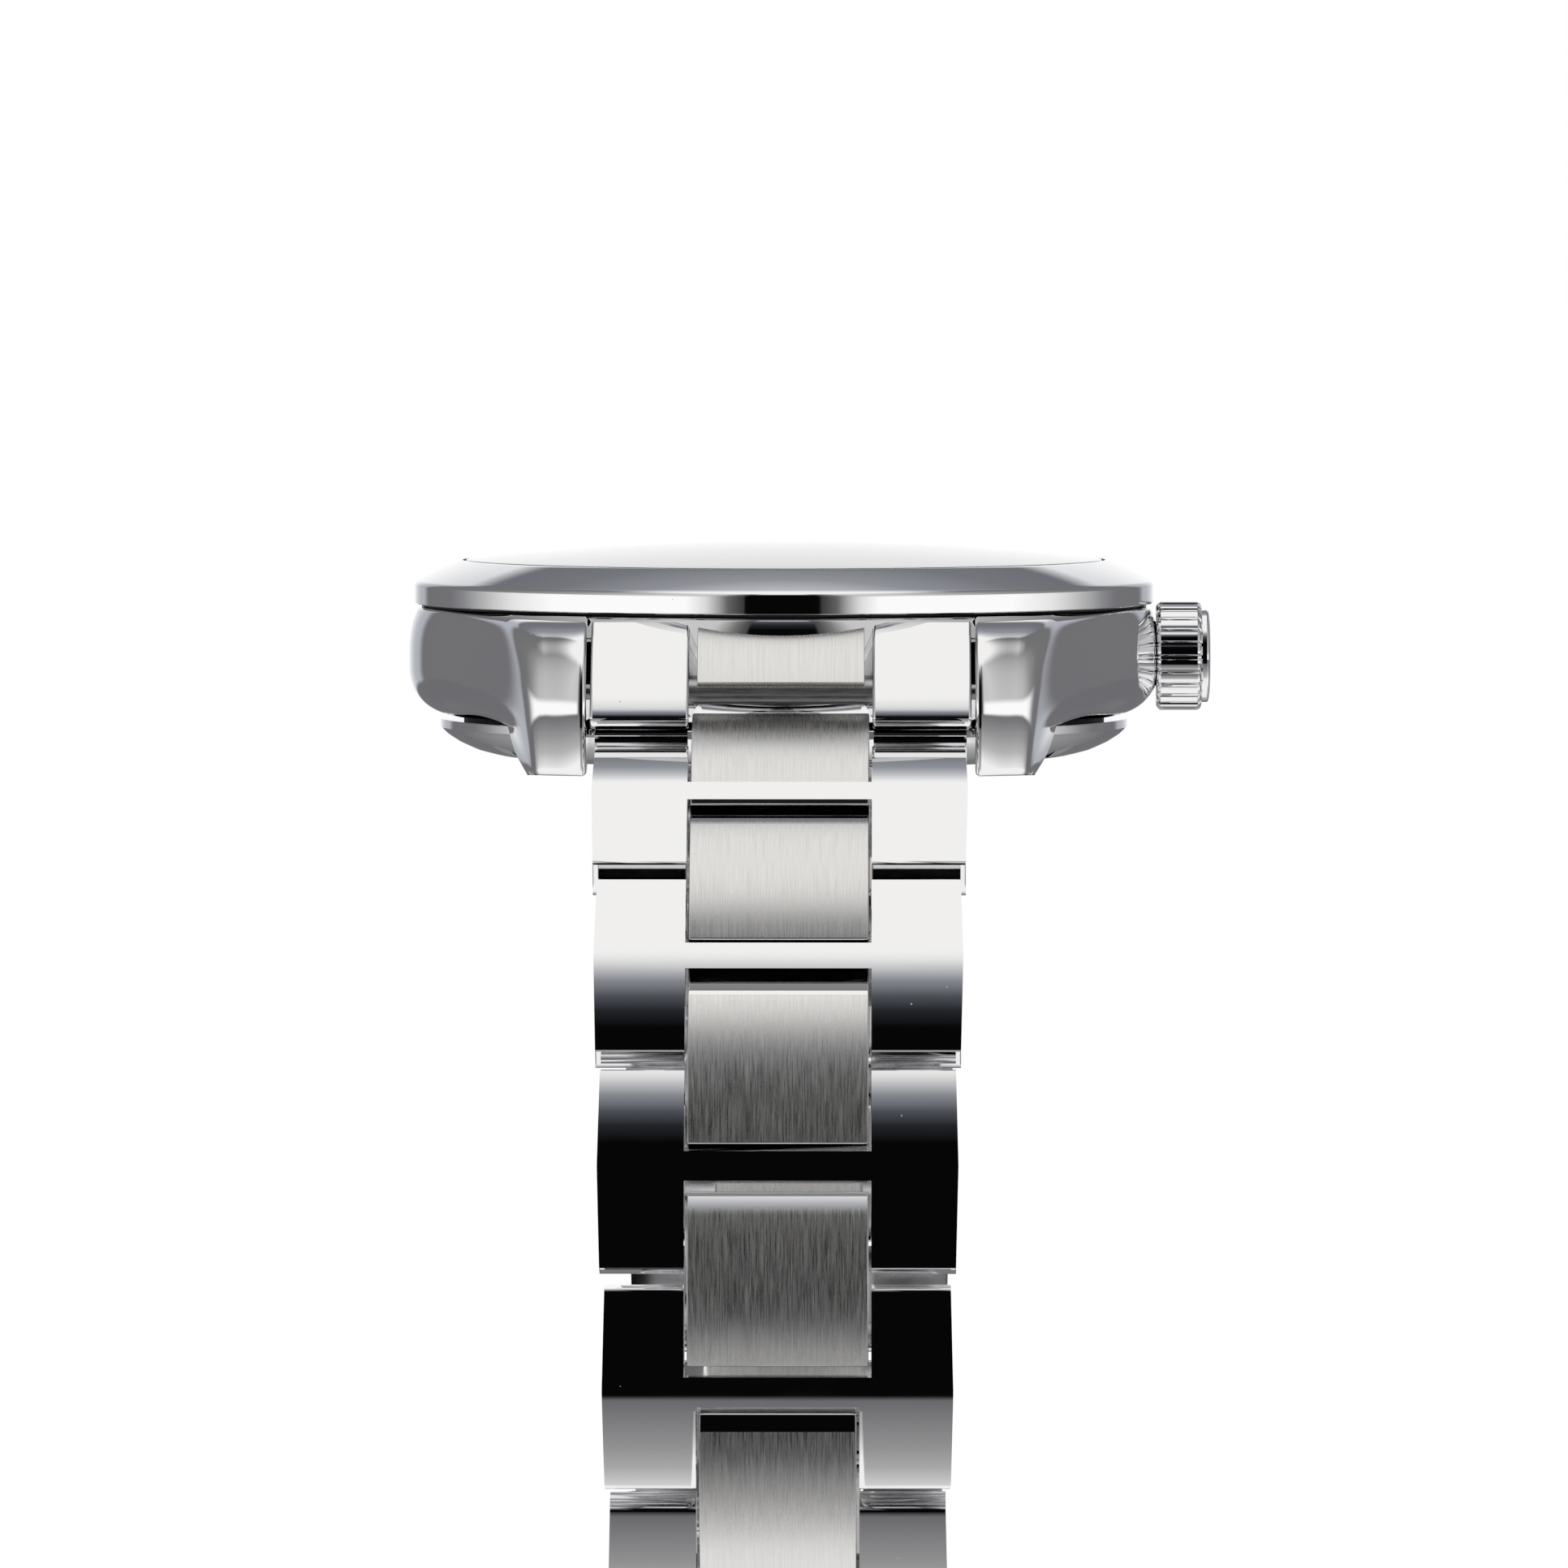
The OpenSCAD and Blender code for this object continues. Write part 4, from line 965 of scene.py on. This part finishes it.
# what reflections see round the watch: brightness at a height or at an azimuth away from 6 o'clock,
# both in degrees; a triple is a tinted grey
studioLight = {
    "ceiling": (1.0, 0.99, 0.975),
    "floor": [(-90, 1.0), (-59, 0.95), (-54, 0.66), (-47, 0.44), (-38, 0.32), (-20, (0.17, 0.167, 0.178))],
    "floorSide": [(-43, 1.0), (-38, 0.8), (-31, 0.52), (-20, 0.33), (-8, (0.178, 0.175, 0.186))],
    "front": [(35, 0.002), (42, (0.018, 0.02, 0.024)), (48, (0.08, 0.086, 0.1)),
              (55, (0.27, 0.28, 0.31)), (63, 0.75), (69, (1.0, 0.99, 0.975))],
    "back": [(26, 1.0), (31, (0.17, 0.175, 0.195)), (42, (0.2, 0.206, 0.23)),
             (52, (0.31, 0.32, 0.35)), (57, (0.52, 0.53, 0.56)), (64, (1.0, 0.99, 0.975))],
    "backSideStart": (26, (0.46, 0.48, 0.52)),
    "sidesLow": [(0, 0.0), (13, 0.06), (17, 0.14), (24, 0.8), (30, 1.1), (76, 1.1), (92, 0.9), (107, 0.52),
                 (118, (0.28, 0.285, 0.3)), (127, (0.19, 0.188, 0.198)), (150, (0.178, 0.175, 0.186))],
    "sidesHigh": [(0, 0.0), (13, 0.08), (17, 0.2), (24, 0.62), (40, 0.66), (62, 0.5), (90, 0.3),
                  (115, 0.2), (150, (0.178, 0.175, 0.186))],
    "floorEdge": -8.5, "floorEdgeInFront": -11, "floorEdgeBlur": 2.5,
}


def makeWorld():
    # the camera sees a white sweep; reflections see a dark card in front, fills at the sides, a grey
    # back that is white low down, and a ceiling softbox
    world = bpy.data.worlds.new("studio")
    scene.world = world
    world.use_nodes = True
    tree = world.node_tree
    tree.nodes.clear()
    look = addNode(tree, "ShaderNodeTexCoord").outputs["Generated"]
    parts = addNode(tree, "ShaderNodeSeparateXYZ", {"Vector": look})
    height = addNode(tree, "ShaderNodeMath", {0: parts.outputs[2]}, operation="ARCSINE")
    level = addNode(tree, "ShaderNodeMapRange", {"Value": height.outputs[0], "From Min": -math.pi / 2,
                    "From Max": math.pi / 2}).outputs[0]
    towards = addNode(tree, "ShaderNodeMath", {0: parts.outputs[1], 1: -1.0}, operation="MULTIPLY")
    turn = addNode(tree, "ShaderNodeMath", {0: parts.outputs[0], 1: towards.outputs[0]}, operation="ARCTAN2")
    away = addNode(tree, "ShaderNodeMath", {0: turn.outputs[0]}, operation="ABSOLUTE").outputs[0]
    azimuth = addNode(tree, "ShaderNodeMapRange", {"Value": away, "From Max": math.pi}).outputs[0]

    def byHeight(stops):
        ramp = addNode(tree, "ShaderNodeValToRGB", {"Fac": level})
        setRamp(ramp, [((degrees + 90) / 180, value) for degrees, value in stops])
        return ramp.outputs[0]

    def byAzimuth(stops):
        ramp = addNode(tree, "ShaderNodeValToRGB", {"Fac": azimuth})
        setRamp(ramp, [(degrees / 180, value) for degrees, value in stops])
        return ramp.outputs[0]

    def between(value, low, high):
        return addNode(tree, "ShaderNodeMapRange", {"Value": value, "From Min": math.radians(low),
                       "From Max": math.radians(high)}, interpolation_type="SMOOTHSTEP").outputs[0]

    light = studioLight
    lit = addNode(tree, "ShaderNodeMath", {0: between(away, 11.4, 13), 1: between(away, 110, 85)},
                  operation="MULTIPLY").outputs[0]
    ground = mixColors(tree, lit, byHeight(light["floor"]), byHeight(light["floorSide"]))
    front = byHeight(light["front"])
    back = byHeight(light["back"])
    backSide = byHeight([light["backSideStart"]] + light["back"][1:])
    behind = mixColors(tree, between(away, 154, 177), backSide, back)
    # the side fills are brightest near the horizon
    sides = mixColors(tree, between(height.outputs[0], 0, 10), byAzimuth(light["sidesLow"]),
                      byAzimuth(light["sidesHigh"]))
    frontSide = mixColors(tree, between(away, 11.4, 12.2), front, sides)
    walls = mixColors(tree, between(away, 146, 153), frontSide, behind)
    # the ceiling softbox closes over the sides, and the floor starts a little under the horizon
    lid = mixColors(tree, between(height.outputs[0], 60, 72), walls, byHeight([(0, light["ceiling"])]))
    drop = addNode(tree, "ShaderNodeMath", {0: toFront(tree, away),
                   1: math.radians(light["floorEdgeInFront"]), 2: math.radians(light["floorEdge"])},
                   operation="MULTIPLY_ADD")
    edge = addNode(tree, "ShaderNodeMath", {0: drop.outputs[0], 1: math.radians(light["floorEdgeBlur"])},
                   operation="ADD")
    above = addNode(tree, "ShaderNodeMapRange", {"Value": height.outputs[0], "From Min": drop.outputs[0],
                    "From Max": edge.outputs[0]}, interpolation_type="SMOOTHSTEP")
    allRound = mixColors(tree, above.outputs[0], ground, lid)
    studio = addNode(tree, "ShaderNodeBackground", {"Color": allRound, "Strength": 1.0})
    white = addNode(tree, "ShaderNodeBackground", {"Color": (1, 1, 1, 1), "Strength": 1.0})
    # what is seen directly or through the crystal is the white sweep; reflections see the studio
    direct = seenDirectly(tree)
    chosen = addNode(tree, "ShaderNodeMixShader", {0: direct, 1: studio.outputs[0], 2: white.outputs[0]})
    addNode(tree, "ShaderNodeOutputWorld", {"Surface": chosen.outputs[0]})


def seenDirectly(tree):
    # 1 for what the camera sees with nothing, or only the crystal, in between
    path = addNode(tree, "ShaderNodeLightPath")
    return addNode(tree, "ShaderNodeMath", {0: path.outputs["Is Camera Ray"],
                   1: path.outputs["Is Transmission Ray"]}, operation="MAXIMUM").outputs[0]


def toFront(tree, away):
    # 1 on the 6 o'clock side, 0 elsewhere
    return addNode(tree, "ShaderNodeMapRange", {"Value": away, "From Min": math.radians(12.2),
                   "From Max": math.radians(11.4)}).outputs[0]


def mixColors(tree, factor, first, second):
    mix = addNode(tree, "ShaderNodeMix", data_type="RGBA")
    tree.links.new(factor, mix.inputs[0])
    tree.links.new(first, mix.inputs[6])
    tree.links.new(second, mix.inputs[7])
    return mix.outputs[2]


floorSettings = {"size": 6.0, "color": "E8E8E8", "roughness": 0.9, "glow": 0.62}


def makeFloor():
    # pale matt sweep: lit parts pass white for the camera, the watch's shadow stays
    low = cadBox[0][2]
    bm = bmesh.new()
    bmesh.ops.create_grid(bm, x_segments=2, y_segments=2, size=floorSettings["size"])
    bmesh.ops.translate(bm, verts=bm.verts, vec=(0, 0, low))
    mesh = bpy.data.meshes.new("floor")
    bm.to_mesh(mesh)
    bm.free()
    floor = bpy.data.objects.new("floor", mesh)
    scene.collection.objects.link(floor)
    material, tree, shader = newMaterial("paleFloor")
    shader.inputs["Base Color"].default_value = hexColor(floorSettings["color"])
    shader.inputs["Roughness"].default_value = floorSettings["roughness"]
    shader.inputs["Emission Color"].default_value = (1, 1, 1, 1)
    glow = addNode(tree, "ShaderNodeMath", {0: seenDirectly(tree), 1: floorSettings["glow"]},
                   operation="MULTIPLY")
    tree.links.new(glow.outputs[0], shader.inputs["Emission Strength"])
    mesh.materials.append(material)
    floor.visible_glossy = False


cameraSettings = {"lens": 348, "sensor": 36, "place": (0.0061, -0.8, 0.0349), "aim": (0, 0, -0.0014)}


def makeCamera():
    camera = bpy.data.cameras.new("camera")
    camera.lens = cameraSettings["lens"]
    camera.sensor_width = cameraSettings["sensor"]
    holder = bpy.data.objects.new("camera", camera)
    scene.collection.objects.link(holder)
    holder.location = cameraSettings["place"]
    aim = Vector(cameraSettings["aim"]) - holder.location
    holder.rotation_euler = aim.to_track_quat("-Z", "Y").to_euler()
    scene.camera = holder


makeWorld()
makeFloor()
makeCamera()
scene.view_settings.view_transform = "Standard"
print("studio made")
